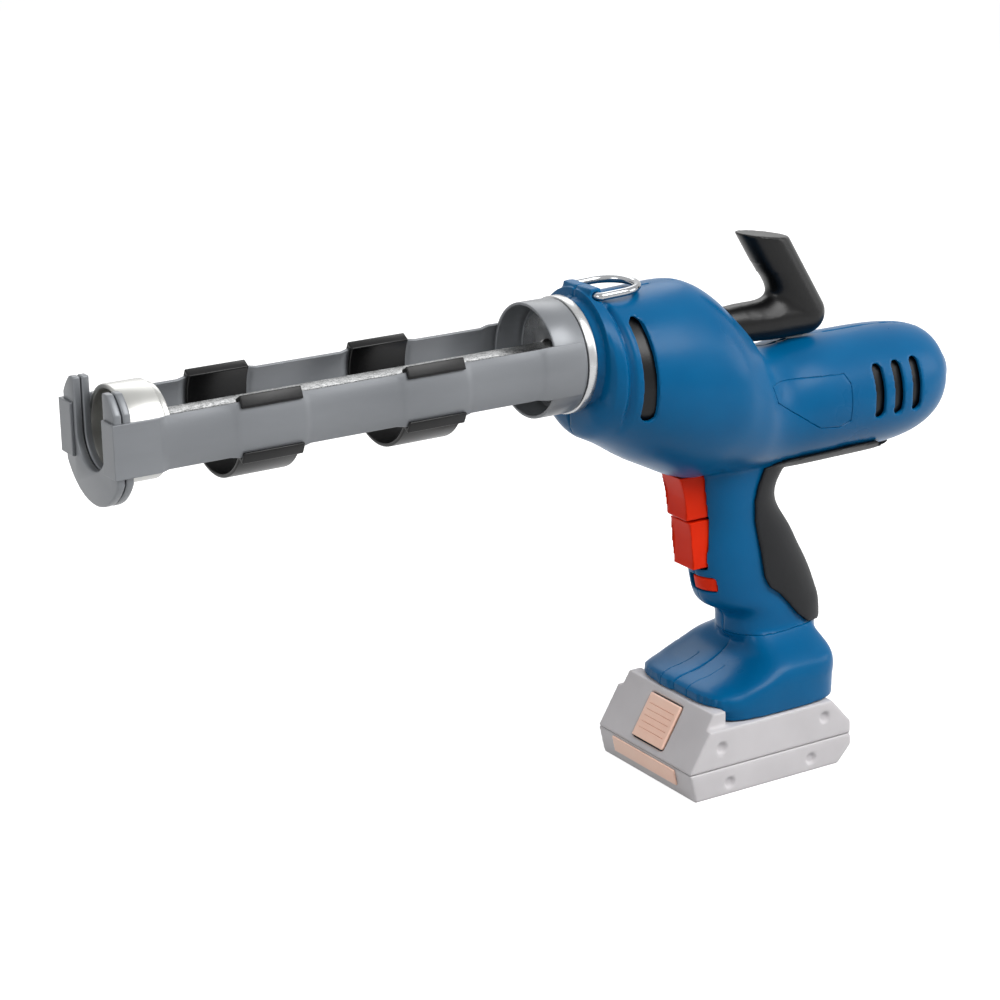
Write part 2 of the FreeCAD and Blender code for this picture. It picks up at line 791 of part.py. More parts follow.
def flat_section(x, inner_y, outer_y, half_height):
    low, high = mm("axis_z") - half_height, mm("axis_z") + half_height
    corners = [Vector(x, outer_y, low), Vector(x, outer_y, high), Vector(x, inner_y, high), Vector(x,
            inner_y, low)]
    return Part.makePolygon(corners + corners[:1])


def rail():
    """The left rail: curved strip, flattened front end and the tab bent in before the plates."""
    half = rail_angle()
    low, wall = mm("rail_inner_radius"), mm("rail_wall")
    strip = sector(rail_profile(), -half, 2 * half)
    flat_x = mm("flat_start_x") + mm("joggle_ramp")
    curved = arc_section(mm("flat_start_x"), low, low + wall, half)
    flattened = flat_section(flat_x, low, low + wall, mm("rail_half_height"))
    ramp = Part.makeLoft([curved, flattened], True, True)
    bottom, top = mm("axis_z") - mm("rail_half_height"), mm("axis_z") + mm("rail_half_height")
    cheek = block((flat_x, low, bottom), (mm("plate_front_x") + wall, low + wall, top))
    tab = block((mm("plate_front_x"), mm("tab_inner_y"), bottom), (mm("plate_front_x") + wall,
            low + wall, top))
    return strip.fuse([ramp, cheek, tab])


def make_rails():
    left = rail()
    node(feature("rail_left", left), "rail_left")
    node(feature("rail_right", left.mirror(Vector(), Vector(0, 1, 0))), "rail_right")


def make_plate(label, front_x):
    """One of the two slotted end plates; front_x is an expression."""
    disc = cylinder(label + "_disc", "x", "plate_radius", "plate_thickness",
                    (f"{front_x} - plate_thickness", "0", "axis_z"))
    between = box(label + "_flats",
                  (f"{front_x} - plate_thickness - overrun", "seat_gap - rail_inner_radius",
                   "axis_z - plate_radius"),
                  (f"{front_x} + overrun", "rail_inner_radius - seat_gap", "axis_z + plate_top_rise"))
    round_end = cylinder(label + "_slot_end", "x", "slot_radius", "plate_thickness + 2 * overrun",
                         (f"{front_x} - plate_thickness - overrun", "0", "axis_z"))
    open_top = box(label + "_slot", (f"{front_x} - plate_thickness - overrun", "-slot_radius", "axis_z"),
                   (f"{front_x} + overrun", "slot_radius", "axis_z + plate_radius + overrun"))
    node(cut(label, common(label + "_body", disc, between), round_end, open_top), label)


def make_holder_ring():
    outer = cylinder("ring_outer", "x", "ring_radius", "ring_length", ("ring_rear_x", "0", "axis_z"))
    inner = cylinder("ring_inner", "x", "ring_radius - ring_wall", "ring_length - ring_flange + overrun",
                     ("ring_rear_x + ring_flange", "0", "axis_z"))
    eye = cylinder("ring_eye", "x", "nose_radius + running_gap", "ring_flange + 2 * overrun",
                   ("ring_rear_x - overrun", "0", "axis_z"))
    node(cut("holder_ring", outer, inner, eye), "holder_ring")


SADDLE_PROUD_SHARE = 0.33


def saddle(start):
    """A liner that runs under the cartridge, hooked over both rails."""
    end = start + mm("saddle_length")
    inner = mm("rail_inner_radius") - SADDLE_PROUD_SHARE * mm("rail_wall")
    outer = mm("ring_radius")
    half = rail_angle()
    gap = math.degrees(mm("seat_gap") * 2 / outer)
    lip, skirt = math.degrees(mm("saddle_top") / outer), math.degrees(mm("saddle_skirt") / outer)
    reach = mm("ring_radius") + mm("rail_wall") + mm("saddle_lip")
    liner = [(start, inner), (end, inner), (end, outer), (start, outer)]
    hook = [(start, inner), (end, inner), (end, reach), (start, reach)]
    clear = mm("ring_radius") + mm("rail_wall") + mm("seat_gap") * 2
    apron = [(start, clear), (end, clear), (end, reach), (start, reach)]
    top = half + gap
    pieces = [sector(liner, -180 - top, 180 + 2 * top)]
    for low_deg, apron_deg in ((top, top - skirt), (180 - top - lip, 180 - top), (-top - lip, -top),
                               (180 + top, 180 + top - skirt)):
        pieces += [sector(hook, low_deg, lip), sector(apron, apron_deg, skirt)]
    return pieces[0].fuse(pieces[1:])


def make_saddles():
    node(feature("saddle_front", saddle(mm("front_saddle_x"))), "saddle_front")
    node(feature("saddle_rear", saddle(mm("rear_saddle_x"))), "saddle_rear")


def make_nose():
    """Metal nose through the casing's front; the holder turns on it behind the lip."""
    tube = cylinder("nose_tube", "x", "nose_radius", "ring_rear_x + ring_flange + moving_gap - nose_rear_x",
                    ("nose_rear_x", "0", "axis_z"))
    lip = cylinder("nose_lip_ring", "x", "nose_radius + nose_lip", "nose_lip_length",
                   ("ring_rear_x + ring_flange + moving_gap", "0", "axis_z"))
    flange = cylinder("nose_flange", "x", "nose_flange_radius", "nose_flange_length", ("nose_rear_x",
            "0", "axis_z"))
    bore = cylinder("nose_hole", "x", "nose_bore", "ring_rear_x - nose_rear_x + 4 * overrun",
                    ("nose_rear_x - overrun", "0", "axis_z"))
    node(cut("nose_bush", fuse("nose_body", tube, lip, flange), bore), "nose_bush")
    nut = cylinder("nut_outer", "x", "nut_radius", "ring_rear_x - moving_gap - neck_front_x",
                   ("neck_front_x", "0", "axis_z"))
    hole = cylinder("nut_hole", "x", "nose_radius + seat_gap", "ring_rear_x - neck_front_x + overrun",
                    ("neck_front_x - overrun", "0", "axis_z"))
    node(cut("retaining_nut", nut, hole), "retaining_nut")


# push rod, piston and pull handle
PRESSURE_ANGLE = math.radians(20)
RACK_ROOT_SHARE = 1.25


def rack_outline():
    """Side outline of the toothed bar: a gap between teeth sits over the pinion."""
    module = mm("tooth_module")
    pitch = math.pi * module
    tip_z = mm("axis_z") - mm("rod_height") / 2
    root_z = RACK_PITCH_Z + RACK_ROOT_SHARE * module
    slope = math.tan(PRESSURE_ANGLE)
    half = (pitch / 2 - mm("backlash") / 2) / 2
    half_tip = half - module * slope
    half_root = half + RACK_ROOT_SHARE * module * slope
    points = []
    first = math.ceil((mm("pull_front_x") - mm("drive_x")) / pitch)
    last = math.floor((mm("rod_front_x") - mm("piston_screw_depth") - mm("drive_x")) / pitch) - 1
    for step in range(first, last):
        middle = mm("drive_x") + step * pitch + pitch / 2
        points += [(middle - half_root, root_z), (middle - half_tip, tip_z),
                   (middle + half_tip, tip_z), (middle + half_root, root_z)]
    start, end = points[0][0], points[-1][0]
    top = mm("axis_z") + mm("rod_height") / 2
    return ([(mm("rod_rear_x"), tip_z), (start, tip_z)] + points +
            [(end, tip_z), (mm("rod_front_x"), tip_z), (mm("rod_front_x"), top), (mm("rod_rear_x"), top)])


def make_rod():
    bar = side_prism(rack_outline(), mm("rod_width") / 2)
    depth = mm("piston_screw_depth")
    drilling = x_cylinder(mm("piston_screw_radius") + mm("seat_gap"), mm("rod_front_x") - depth,
                          mm("rod_front_x") + mm("overrun"), mm("axis_z"))
    pin = y_cylinder(mm("pull_pin_radius") + mm("seat_gap"), -mm("rod_width"), mm("rod_width"),
                     mm("pull_front_x") + (mm("rod_rear_x") - mm("pull_front_x")) / 2, mm("axis_z"))
    node(feature("rack_rod", bar.cut([drilling, pin])), "rack_rod")


def make_piston():
    rear = "rod_front_x + back_plate_thickness"
    plate = cylinder("back_plate_disc", "x", "back_plate_radius", "back_plate_thickness",
                     ("rod_front_x", "0", "axis_z"))
    hole = cylinder("back_plate_hole", "x", "piston_screw_radius + seat_gap",
                    "back_plate_thickness + 2 * overrun",
                    ("rod_front_x - overrun", "0", "axis_z"))
    node(cut("piston_back_plate", plate, hole), "piston_back_plate")
    cup = cylinder("piston_outer", "x", "piston_radius", "piston_length", (rear, "0", "axis_z"))
    hollow = cylinder("piston_hollow", "x", "piston_radius - piston_wall", "piston_length",
                      (f"{rear} + piston_wall", "0", "axis_z"))
    eye = cylinder("piston_eye", "x", "piston_screw_radius + seat_gap", "piston_length",
                   (f"{rear} - overrun", "0", "axis_z"))
    node(cut("piston_cup", cup, hollow, eye), "piston_cup")
    seat = f"{rear} + piston_wall"
    head = cylinder("piston_screw_head", "x", "2 * piston_screw_radius", "2 * piston_wall", (seat, "0",
            "axis_z"))
    shank = cylinder("piston_screw_shank", "x", "piston_screw_radius",
                     "piston_screw_depth + back_plate_thickness + piston_wall",
                     ("rod_front_x - piston_screw_depth", "0", "axis_z"))
    return fuse("piston_screw", head, shank)


def make_pull_handle():
    """Tapered arm over the rod's end, a rounded corner and a leaning upright for the hand."""
    radius, z = mm("pull_radius"), mm("axis_z")
    lean = math.radians(mm("pull_lean"))
    corner = Vector(mm("pull_corner_x"), 0, z)
    along = Vector(math.sin(lean), 0, math.cos(lean))
    tip = corner + along * mm("pull_tip_length")
    arm = Part.makeCone(mm("pull_neck_radius"), radius, mm("pull_front_x") - mm("pull_taper_x"),
                        Vector(mm("pull_front_x"), 0, z), Vector(-1, 0, 0))
    rest = x_cylinder(radius, mm("pull_corner_x"), mm("pull_taper_x"), z)
    upright = Part.makeCylinder(radius, mm("pull_tip_length") + radius, corner, along)
    body = arm.fuse([rest, upright, Part.makeSphere(radius, corner)])
    reach = mm("axis_z")
    slice_off = block((-reach, -reach, 0), (reach, reach, reach))
    slice_off.rotate(Vector(), Vector(0, 1, 0), -mm("pull_tip_slope"))
    slice_off.translate(tip)
    gap = mm("seat_gap")
    socket = block((mm("rod_rear_x") - gap, -mm("rod_width") / 2 - gap,
                    mm("axis_z") - mm("rod_height") / 2 - gap),
                   (mm("pull_front_x") + mm("overrun"), mm("rod_width") / 2 + gap,
                    mm("axis_z") + mm("rod_height") / 2 + gap))
    pin_x = mm("pull_front_x") + (mm("rod_rear_x") - mm("pull_front_x")) / 2
    half = mm("rod_width") / 2 + mm("pull_pin_radius")
    pin_hole = y_cylinder(mm("pull_pin_radius") + gap, -half - gap, half + gap, pin_x, mm("axis_z"))
    node(feature("pull_handle", body.cut([slice_off, socket, pin_hole])), "pull_handle")
    return y_cylinder(mm("pull_pin_radius"), -half, half, pin_x, mm("axis_z"))


def make_rod_fasteners(screw, pin):
    """The piston's screw and the pull handle's cross pin."""
    doc.recompute()
    node(feature("rod_fasteners", Part.makeCompound([screw.Shape, pin])), "rod_fasteners")


# gears
FLANK_SHARES = [0, 0.35, 0.7, 1]


def tooth_half_angle(radius, pitch_radius, half_thickness):
    """Half the tooth's angle at a radius, on an involute flank."""
    base = pitch_radius * math.cos(PRESSURE_ANGLE)
    at_pitch = math.tan(PRESSURE_ANGLE) - PRESSURE_ANGLE
    pressure = math.acos(min(1, base / radius))
    return half_thickness / pitch_radius + at_pitch - (math.tan(pressure) - pressure)


def gear_wire(teeth, module, play, tip_share, root_share, first_deg):
    """A closed gear outline in the XY plane with a tooth centred on first_deg."""
    pitch_radius = teeth * module / 2
    tip, root = pitch_radius + tip_share * module, pitch_radius - root_share * module
    half = (math.pi * module / 2 - play) / 2
    radii = [root + share * (tip - root) for share in FLANK_SHARES]
    points = []
    for step in range(teeth):
        middle = math.radians(first_deg) + 2 * math.pi * step / teeth
        sides = [(radius, tooth_half_angle(radius, pitch_radius, half)) for radius in radii]
        flank = [(radius, middle - angle) for radius, angle in sides]
        flank += [(radius, middle + angle) for radius, angle in reversed(sides)]
        points += [Vector(radius * math.cos(angle), radius * math.sin(angle), 0) for radius, angle in flank]
    return Part.makePolygon(points + points[:1])


def spur_gear(teeth, module, play, width, first_deg, tip_share=0.95, root_share=1.2):
    return Part.Face(gear_wire(teeth, module, play, tip_share, root_share, first_deg)).extrude(Vector(0,
            0, width))


def stand_on_y(solid, x, y, z):
    """Turns a solid made along Z to lie along Y: its X stays X and its Y becomes -Z."""
    solid.rotate(Vector(), Vector(1, 0, 0), -90)
    solid.translate(Vector(x, y, z))
    return solid


def stand_on_x(solid, x, y, z):
    """Turns a solid made along Z to lie along X: its X becomes -Z and its Y stays Y."""
    solid.rotate(Vector(), Vector(0, 1, 0), 90)
    solid.translate(Vector(x, y, z))
    return solid


SPRING_LEAF_SHARE = 1 / 3


def make_pinion_shaft():
    x, half = mm("drive_x"), mm("pinion_half_width")
    shaft = y_cylinder(mm("shaft_radius"), -mm("shaft_half_length"), mm("shaft_half_length"), x, PINION_Z)
    gear = stand_on_y(spur_gear(count("pinion_teeth"), mm("tooth_module"), mm("backlash"), 2 * half, 90),
                      x, -half, PINION_Z)
    node(feature("rack_pinion_shaft", shaft.fuse(gear)), "rack_pinion_shaft")
    face_y = mm("spur_y") + mm("spur_width") + mm("moving_gap")
    disc = y_cylinder(mm("clutch_disc_radius"), face_y, face_y + mm("clutch_disc_thickness"), x, PINION_Z)
    bore = y_cylinder(mm("shaft_radius"), 0, 2 * face_y, x, PINION_Z)
    node(feature("clutch_disc", disc.cut(bore)), "clutch_disc")
    spring_y = face_y + mm("clutch_disc_thickness")
    rise = (mm("frame_y") - mm("moving_gap") - spring_y) / 2
    rim, hub = mm("clutch_spring_radius"), mm("shaft_radius") + mm("seat_gap")
    thick = SPRING_LEAF_SHARE * rise
    lean = [(spring_y, rim), (spring_y + thick, rim), (spring_y + rise, hub + thick), (spring_y + rise,
            hub),
            (spring_y + rise - thick, hub)]
    washers = []
    for mirrored in (False, True):
        points = [Vector(radius, (2 * (spring_y + rise) - y) if mirrored else y, 0) for y, radius in lean]
        washer = Part.Face(Part.makePolygon(points + points[:1])).revolve(Vector(), Vector(0, 1, 0), 360)
        washer.translate(Vector(x, 0, PINION_Z))
        washers.append(washer)
    node(feature("clutch_spring", Part.makeCompound(washers)), "clutch_spring")


def make_clutch_gear():
    gear = stand_on_y(spur_gear(count("clutch_teeth"), mm("tooth_module"), mm("backlash"),
                                mm("spur_width"), 90),
                      mm("drive_x"), mm("spur_y"), PINION_Z)
    bore = y_cylinder(mm("shaft_radius") + mm("running_gap"), 0, 2 * mm("frame_y"), mm("drive_x"), PINION_Z)
    node(feature("clutch_gear", gear.cut(bore)), "clutch_gear")


def crown_tooth(middle_deg, inner, outer, root_y, tip_y, root_half, tip_half):
    """One face tooth: a wedge that narrows from the disc to its tip."""
    def ring_of(y, half_deg):
        corners = []
        for radius, way in ((inner, -1), (outer, -1), (outer, 1), (inner, 1)):
            angle = math.radians(middle_deg + way * half_deg)
            corners.append(Vector(radius * math.cos(angle), y, radius * math.sin(angle)))
        return Part.makePolygon(corners + corners[:1])
    return Part.makeLoft([ring_of(root_y, root_half), ring_of(tip_y, tip_half)], True, True)


CROWN_TOOTH_SHARE = 0.40
CROWN_TIP_SHARE = 0.9
CROWN_ROOT_SHARE = 1.15
CROWN_INNER_SHARE = 0.4


def make_crown_shaft():
    x, module = mm("drive_x"), mm("tooth_module")
    shaft = y_cylinder(mm("shaft_radius"), -mm("shaft_half_length"), mm("shaft_half_length"), x, MOTOR_Z)
    half_pitch = 180 / count("spur_teeth")
    gear = stand_on_y(spur_gear(count("spur_teeth"), module, mm("backlash"), mm("spur_width"),
                                -90 + half_pitch),
                      x, mm("spur_y"), MOTOR_Z)
    bore = y_cylinder(mm("shaft_radius"), -mm("frame_y"), mm("frame_y"), x, MOTOR_Z)
    node(feature("crown_shaft", shaft.fuse(gear)), "crown_shaft")
    pitch_y = -count("face_teeth") * module / 2
    mean = count("crown_teeth") * module / 2
    inner = mean - CROWN_INNER_SHARE * mm("crown_face")
    outer = inner + mm("crown_face")
    root_y, tip_y = pitch_y - CROWN_ROOT_SHARE * module, pitch_y + CROWN_TIP_SHARE * module
    step_deg = 360 / count("crown_teeth")
    slope_deg = math.degrees(module * math.tan(PRESSURE_ANGLE) / mean)
    half = CROWN_TOOTH_SHARE * step_deg / 2
    teeth = [crown_tooth(step * step_deg + step_deg / 2, inner, outer, root_y - mm("seat_gap"), tip_y,
                         half + CROWN_ROOT_SHARE * slope_deg, half - CROWN_TIP_SHARE * slope_deg)
             for step in range(count("crown_teeth"))]
    back_y = root_y - mm("crown_thickness")
    disc = y_cylinder(outer + mm("crown_face") / 2, back_y, root_y, 0, 0)
    hub = y_cylinder(mm("hub_radius"), -mm("frame_y") + mm("moving_gap"), back_y, 0, 0)
    wheel = disc.fuse([hub] + teeth)
    wheel.translate(Vector(x, 0, MOTOR_Z))
    node(feature("crown_wheel", wheel.cut(bore)), "crown_wheel")


FRAME_X_SHARES = [0, 0.594, 1, 1, 0.312, 0]
FRAME_Z_SHARES = [0, 0, 0.42, 1, 1, 0.58]


def make_frames():
    """Two side plates that hold both cross shafts between the nose and the gearbox."""
    start, end = mm("case_front_x"), mm("nose_rear_x")
    bottom = MOTOR_Z - mm("bush_radius") - mm("frame_thickness")
    top = mm("axis_z")
    outline = [(start + x * (end - start), bottom + z * (top - bottom))
               for x, z in zip(FRAME_X_SHARES, FRAME_Z_SHARES)]
    bushes = [output_bush()]
    for label, way in (("gear_frame_left", 1), ("gear_frame_right", -1)):
        low, high = sorted((way * mm("frame_y"), way * (mm("frame_y") + mm("frame_thickness"))))
        plate = side_prism(outline, mm("frame_thickness") / 2)
        plate.translate(Vector(0, (low + high) / 2, 0))
        for z in (PINION_Z, MOTOR_Z):
            seat = y_cylinder(mm("bush_radius"), low - mm("overrun"), high + mm("overrun"),
                              mm("drive_x"), z)
            plate = plate.cut(seat)
            ring = y_cylinder(mm("bush_radius"), low, high, mm("drive_x"), z)
            hole = y_cylinder(mm("shaft_radius") + mm("running_gap"), low - mm("overrun"),
                              high + mm("overrun"),
                              mm("drive_x"), z)
            bushes.append(ring.cut(hole))
        node(feature(label, plate), label)
    node(feature("shaft_bushes", Part.makeCompound(bushes)), "shaft_bushes")
    reach = mm("frame_y")
    inset = mm("post_radius") + mm("wall")
    front_post, rear_post = outline[2], outline[5]
    places = [(front_post[0] - inset, front_post[1] + inset), (front_post[0] - inset, PINION_Z),
              (rear_post[0] + inset, rear_post[1] - inset)]
    posts = [y_cylinder(mm("post_radius"), -reach, reach, x, z) for x, z in places]
    node(feature("frame_posts", Part.makeCompound(posts)), "frame_posts")


# planetary gearbox on the motor axis
def gearbox_x():
    """Start of the gear faces along X."""
    return mm("carrier_front_x") - mm("carrier_thickness") - mm("planet_width") - mm("moving_gap")


def planet_places():
    reach = (count("sun_teeth") + count("planet_teeth")) * mm("planet_module") / 2
    return [(reach, 120 * step) for step in range(3)]


def planet_centre(reach, degrees):
    """Places round the motor axis, the first at +Y, turning towards +Z."""
    turn = math.radians(degrees)
    return reach * math.cos(turn), MOTOR_Z + reach * math.sin(turn)


def make_gearbox():
    module, play, width = mm("planet_module"), mm("gear_backlash"), mm("planet_width")
    start = gearbox_x()
    ring_teeth = count("sun_teeth") + 2 * count("planet_teeth")
    body = Part.makeCylinder(mm("ring_gear_radius"), width)
    void = spur_gear(ring_teeth, module, -play, width + 2 * mm("overrun"), 90, 1.25, 0.9)
    void.translate(Vector(0, 0, -mm("overrun")))
    ring = stand_on_x(body.cut(void), start, 0, MOTOR_Z)
    skirt = x_cylinder(mm("ring_gear_radius"), mm("case_rear_x"), start, MOTOR_Z)
    eye = x_cylinder(mm("ring_gear_radius") - mm("ring_gear_skirt"), mm("case_rear_x") - mm("overrun"),
                     start + mm("overrun"), MOTOR_Z)
    node(feature("ring_gear", ring.fuse(skirt.cut(eye))), "ring_gear")
    for index, (reach, degrees) in enumerate(planet_places(), start=1):
        y, z = planet_centre(reach, degrees)
        gear = spur_gear(count("planet_teeth"), module, play, width, 90 + degrees)
        gear = stand_on_x(gear, start, y, z)
        bore = Part.makeCylinder(mm("planet_pin_radius") + mm("running_gap"), 4 * width,
                                 Vector(start - width, y, z),
                                 Vector(1, 0, 0))
        label = f"planet_gear_{'abc'[index - 1]}"
        node(feature(label, gear.cut(bore)), label)
    make_carrier(start)
    make_gear_case()


def make_carrier(start):
    """Planet carrier with its pins, output shaft and face pinion."""
    disc_rear = mm("carrier_front_x") - mm("carrier_thickness")
    disc = x_cylinder(mm("carrier_radius"), disc_rear, mm("carrier_front_x"), MOTOR_Z)
    shaft_end = mm("drive_x") - count("crown_teeth") * mm("tooth_module") / 2 + mm("face_pinion_length") / 2
    shaft = x_cylinder(mm("output_radius"), mm("carrier_front_x"), shaft_end - mm("face_pinion_length"),
                       MOTOR_Z)
    pins = []
    for reach, degrees in planet_places():
        y, z = planet_centre(reach, degrees)
        pins.append(Part.makeCylinder(mm("planet_pin_radius"), disc_rear - start, Vector(start, y, z),
                                      Vector(1, 0, 0)))
    gear = spur_gear(count("face_teeth"), mm("tooth_module"), mm("backlash"), mm("face_pinion_length"),
                     -90, 0.9, 1.15)
    pinion = stand_on_x(gear, shaft_end - mm("face_pinion_length"), 0, MOTOR_Z)
    node(feature("planet_carrier", disc.fuse([shaft, pinion] + pins)), "planet_carrier")


def output_bush():
    """Bush in the gearbox's front wall for the output shaft."""
    front = mm("case_front_x")
    rear = front - mm("case_front_wall")
    ring = x_cylinder(mm("bearing_radius"), rear, front, MOTOR_Z)
    hole = x_cylinder(mm("output_radius") + mm("running_gap"), rear - mm("overrun"),
                      front + mm("overrun"), MOTOR_Z)
    return ring.cut(hole)


def make_gear_case():
    front, rear = mm("case_front_x"), mm("case_rear_x")
    inner_front = front - mm("case_front_wall")
    body = x_cylinder(mm("case_radius"), rear, front, MOTOR_Z)
    flange = x_cylinder(mm("case_flange_radius"), rear, rear + mm("case_flange_length"), MOTOR_Z)
    hollow = x_cylinder(mm("ring_gear_radius"), rear - mm("overrun"), inner_front, MOTOR_Z)
    seat = x_cylinder(mm("bearing_radius"), rear, front + mm("overrun"), MOTOR_Z)
    node(feature("gear_case", body.fuse(flange).cut([hollow, seat])), "gear_case")


# motor in the barrel
ROTOR_FRONT_SHARE = 1 / 6


def make_motor():
    front = mm("case_rear_x")
    rear = front - mm("can_length")
    wall, shaft_r = mm("can_wall"), mm("motor_shaft_radius")
    can = x_cylinder(mm("can_radius"), rear, front, MOTOR_Z)
    hollow = x_cylinder(mm("can_radius") - wall, rear - mm("overrun"), front - wall * 2, MOTOR_Z)
    eye = x_cylinder(shaft_r + mm("running_gap"), rear, front + mm("overrun"), MOTOR_Z)
    node(feature("motor_can", can.cut([hollow, eye])), "motor_can")
    rotor_front = front - wall * 2 - ROTOR_FRONT_SHARE * mm("rotor_length")
    rotor_rear = rotor_front - mm("rotor_length")
    tube = x_cylinder(mm("can_radius") - wall, rotor_rear, rotor_front, MOTOR_Z)
    space = x_cylinder(mm("can_radius") - wall - mm("magnet_thickness"), rotor_rear - wall,
                       rotor_front + wall, MOTOR_Z)
    split = block((rotor_rear - wall, -mm("can_radius"), MOTOR_Z - mm("magnet_thickness")),
                  (rotor_front + wall, mm("can_radius"), MOTOR_Z + mm("magnet_thickness")))
    node(feature("motor_magnets", tube.cut([space, split])), "motor_magnets")
    make_rotor(rotor_front, rotor_rear, rear)
    end = x_cylinder(mm("can_radius"), rear - mm("end_cap_length"), rear, MOTOR_Z)
    hole = x_cylinder(shaft_r + mm("running_gap"), rear - 2 * mm("end_cap_length"), rear + mm("overrun"),
                      MOTOR_Z)
    node(feature("motor_end_cap", end.cut(hole)), "motor_end_cap")
    brush_x = rear
    gap = mm("commutator_radius") + mm("moving_gap")
    half = mm("brush_width") / 2
    brushes = [block((brush_x, min(way * gap, way * 2 * gap), MOTOR_Z - half),
                     (brush_x + mm("brush_width"), max(way * gap, way * 2 * gap),
                      MOTOR_Z + half)) for way in (-1, 1)]
    node(feature("motor_brushes", Part.makeCompound(brushes)), "motor_brushes")


ROTOR_SLOTS = 5


HUB_SHARE = 3


def make_rotor(rotor_front, rotor_rear, can_rear):
    shaft_r = mm("motor_shaft_radius")
    fan_front = can_rear - mm("end_cap_length") - mm("moving_gap")
    fan_rear = fan_front - mm("fan_width")
    shaft = x_cylinder(shaft_r, fan_rear, gearbox_x() + mm("planet_width"), MOTOR_Z)
    node(feature("motor_shaft", shaft.fuse(sun_gear())), "motor_shaft")
    core = x_cylinder(mm("rotor_radius"), rotor_rear, rotor_front, MOTOR_Z)
    bore = x_cylinder(shaft_r, fan_rear - mm("overrun"), rotor_front + mm("overrun"), MOTOR_Z)
    slots = []
    for step in range(ROTOR_SLOTS):
        slot = block((rotor_rear - mm("overrun"), HUB_SHARE * shaft_r, MOTOR_Z - shaft_r / 2),
                     (rotor_front + mm("overrun"), mm("rotor_radius") + mm("overrun"),
                      MOTOR_Z + shaft_r / 2))
        slot.rotate(Vector(0, 0, MOTOR_Z), Vector(1, 0, 0), 360 * step / ROTOR_SLOTS)
        slots.append(slot)
    node(feature("rotor_core", core.cut([bore] + slots)), "rotor_core")
    barrel = x_cylinder(mm("commutator_radius"), can_rear + mm("moving_gap"), rotor_rear, MOTOR_Z)
    node(feature("commutator", barrel.cut(bore)), "commutator")
    node(feature("motor_fan", fan(fan_front, fan_rear).cut(bore)), "motor_fan")


def sun_gear():
    """Sun teeth cut on the motor shaft's front end."""
    gear = spur_gear(count("sun_teeth"), mm("planet_module"), mm("gear_backlash"), mm("planet_width"), 90)
    return stand_on_x(gear, gearbox_x(), 0, MOTOR_Z)


FAN_BLADES = 11


def fan(front, rear):
    """Radial blades on a disc behind the motor."""
    disc = x_cylinder(mm("fan_radius"), front - mm("can_wall"), front, MOTOR_Z)
    hub = x_cylinder(HUB_SHARE * mm("motor_shaft_radius"), rear, front, MOTOR_Z)
    blades = []
    for step in range(FAN_BLADES):
        blade = block((rear, mm("motor_shaft_radius") * 2, MOTOR_Z - mm("can_wall") / 2),
                      (front - mm("can_wall") / 2, mm("fan_radius") - mm("can_wall"),
                       MOTOR_Z + mm("can_wall") / 2))
        blade.rotate(Vector(0, 0, MOTOR_Z), Vector(1, 0, 0), 360 * step / FAN_BLADES)
        blades.append(blade)
    return disc.fuse([hub] + blades)


# trigger group
TRIGGER_X_SHARES = [1, 0.92, 0.80, 0, 0]
TRIGGER_Z_SHARES = [1, 0.45, 0, 0, 1]
UPPER_X_SHARES = [1, 0.86, 0.78, 0, 0]
UPPER_Z_SHARES = [1, 0.50, 0, 0, 1]


def finger_block(x_shares, z_shares, front, rear, bottom, top):
    outline = [(rear + x * (front - rear), bottom + z * (top - bottom)) for x, z in zip(x_shares, z_shares)]
    return side_prism(outline, mm("trigger_half_width"))


def stem_heights():
    """Heights of the two plungers that run into the switch."""
    lower = (mm("trigger_top_z") + mm("trigger_bottom_z")) / 2
    upper = (mm("upper_trigger_bottom_z") + mm("switch_top_z")) / 2
    return lower, upper


def make_triggers():
    lower_z, upper_z = stem_heights()
    rear = mm("trigger_rear_x")
    inside = mm("switch_front_x") - mm("stem_radius") * 2
    lower = finger_block(TRIGGER_X_SHARES, TRIGGER_Z_SHARES, mm("trigger_front_x"), rear,
                         mm("trigger_bottom_z"), mm("trigger_top_z"))
    upper = finger_block(UPPER_X_SHARES, UPPER_Z_SHARES, mm("upper_trigger_front_x"), rear,
                         mm("upper_trigger_bottom_z"), mm("upper_trigger_top_z"))
    node(feature("trigger", lower.fuse(x_cylinder(mm("stem_radius"), inside, rear, lower_z))), "trigger")
    node(feature("release_trigger", upper.fuse(x_cylinder(mm("stem_radius"), inside, rear, upper_z))),
         "release_trigger")
    body = block((mm("switch_rear_x"), -mm("switch_half_width"), mm("switch_bottom_z")),
                 (mm("switch_front_x"), mm("switch_half_width"), mm("switch_top_z")))
    bores = [x_cylinder(mm("stem_radius") + mm("running_gap"), mm("switch_rear_x") + mm("wall"),
                        mm("switch_front_x") + mm("overrun"), z) for z in stem_heights()]
    node(feature("switch_module", body.cut(bores)), "switch_module")


def make_lock():
    """Cross slider let into the left corner of the chin below the trigger."""
    rise = mm("lock_height") / 2
    slider = block((mm("lock_rear_x"), -mm("lock_inner_y"), mm("lock_z") - rise),
                   (mm("handle_front_x"), mm("lock_outer_y"), mm("lock_z") + rise))
    node(feature("lock_slider", slider.common(handle(mm("moving_gap")))), "lock_slider")


# electrics at the battery seat
def blade_places():
    return [way * mm("blade_pitch") / 2 for way in (-3, -1, 1, 3)]


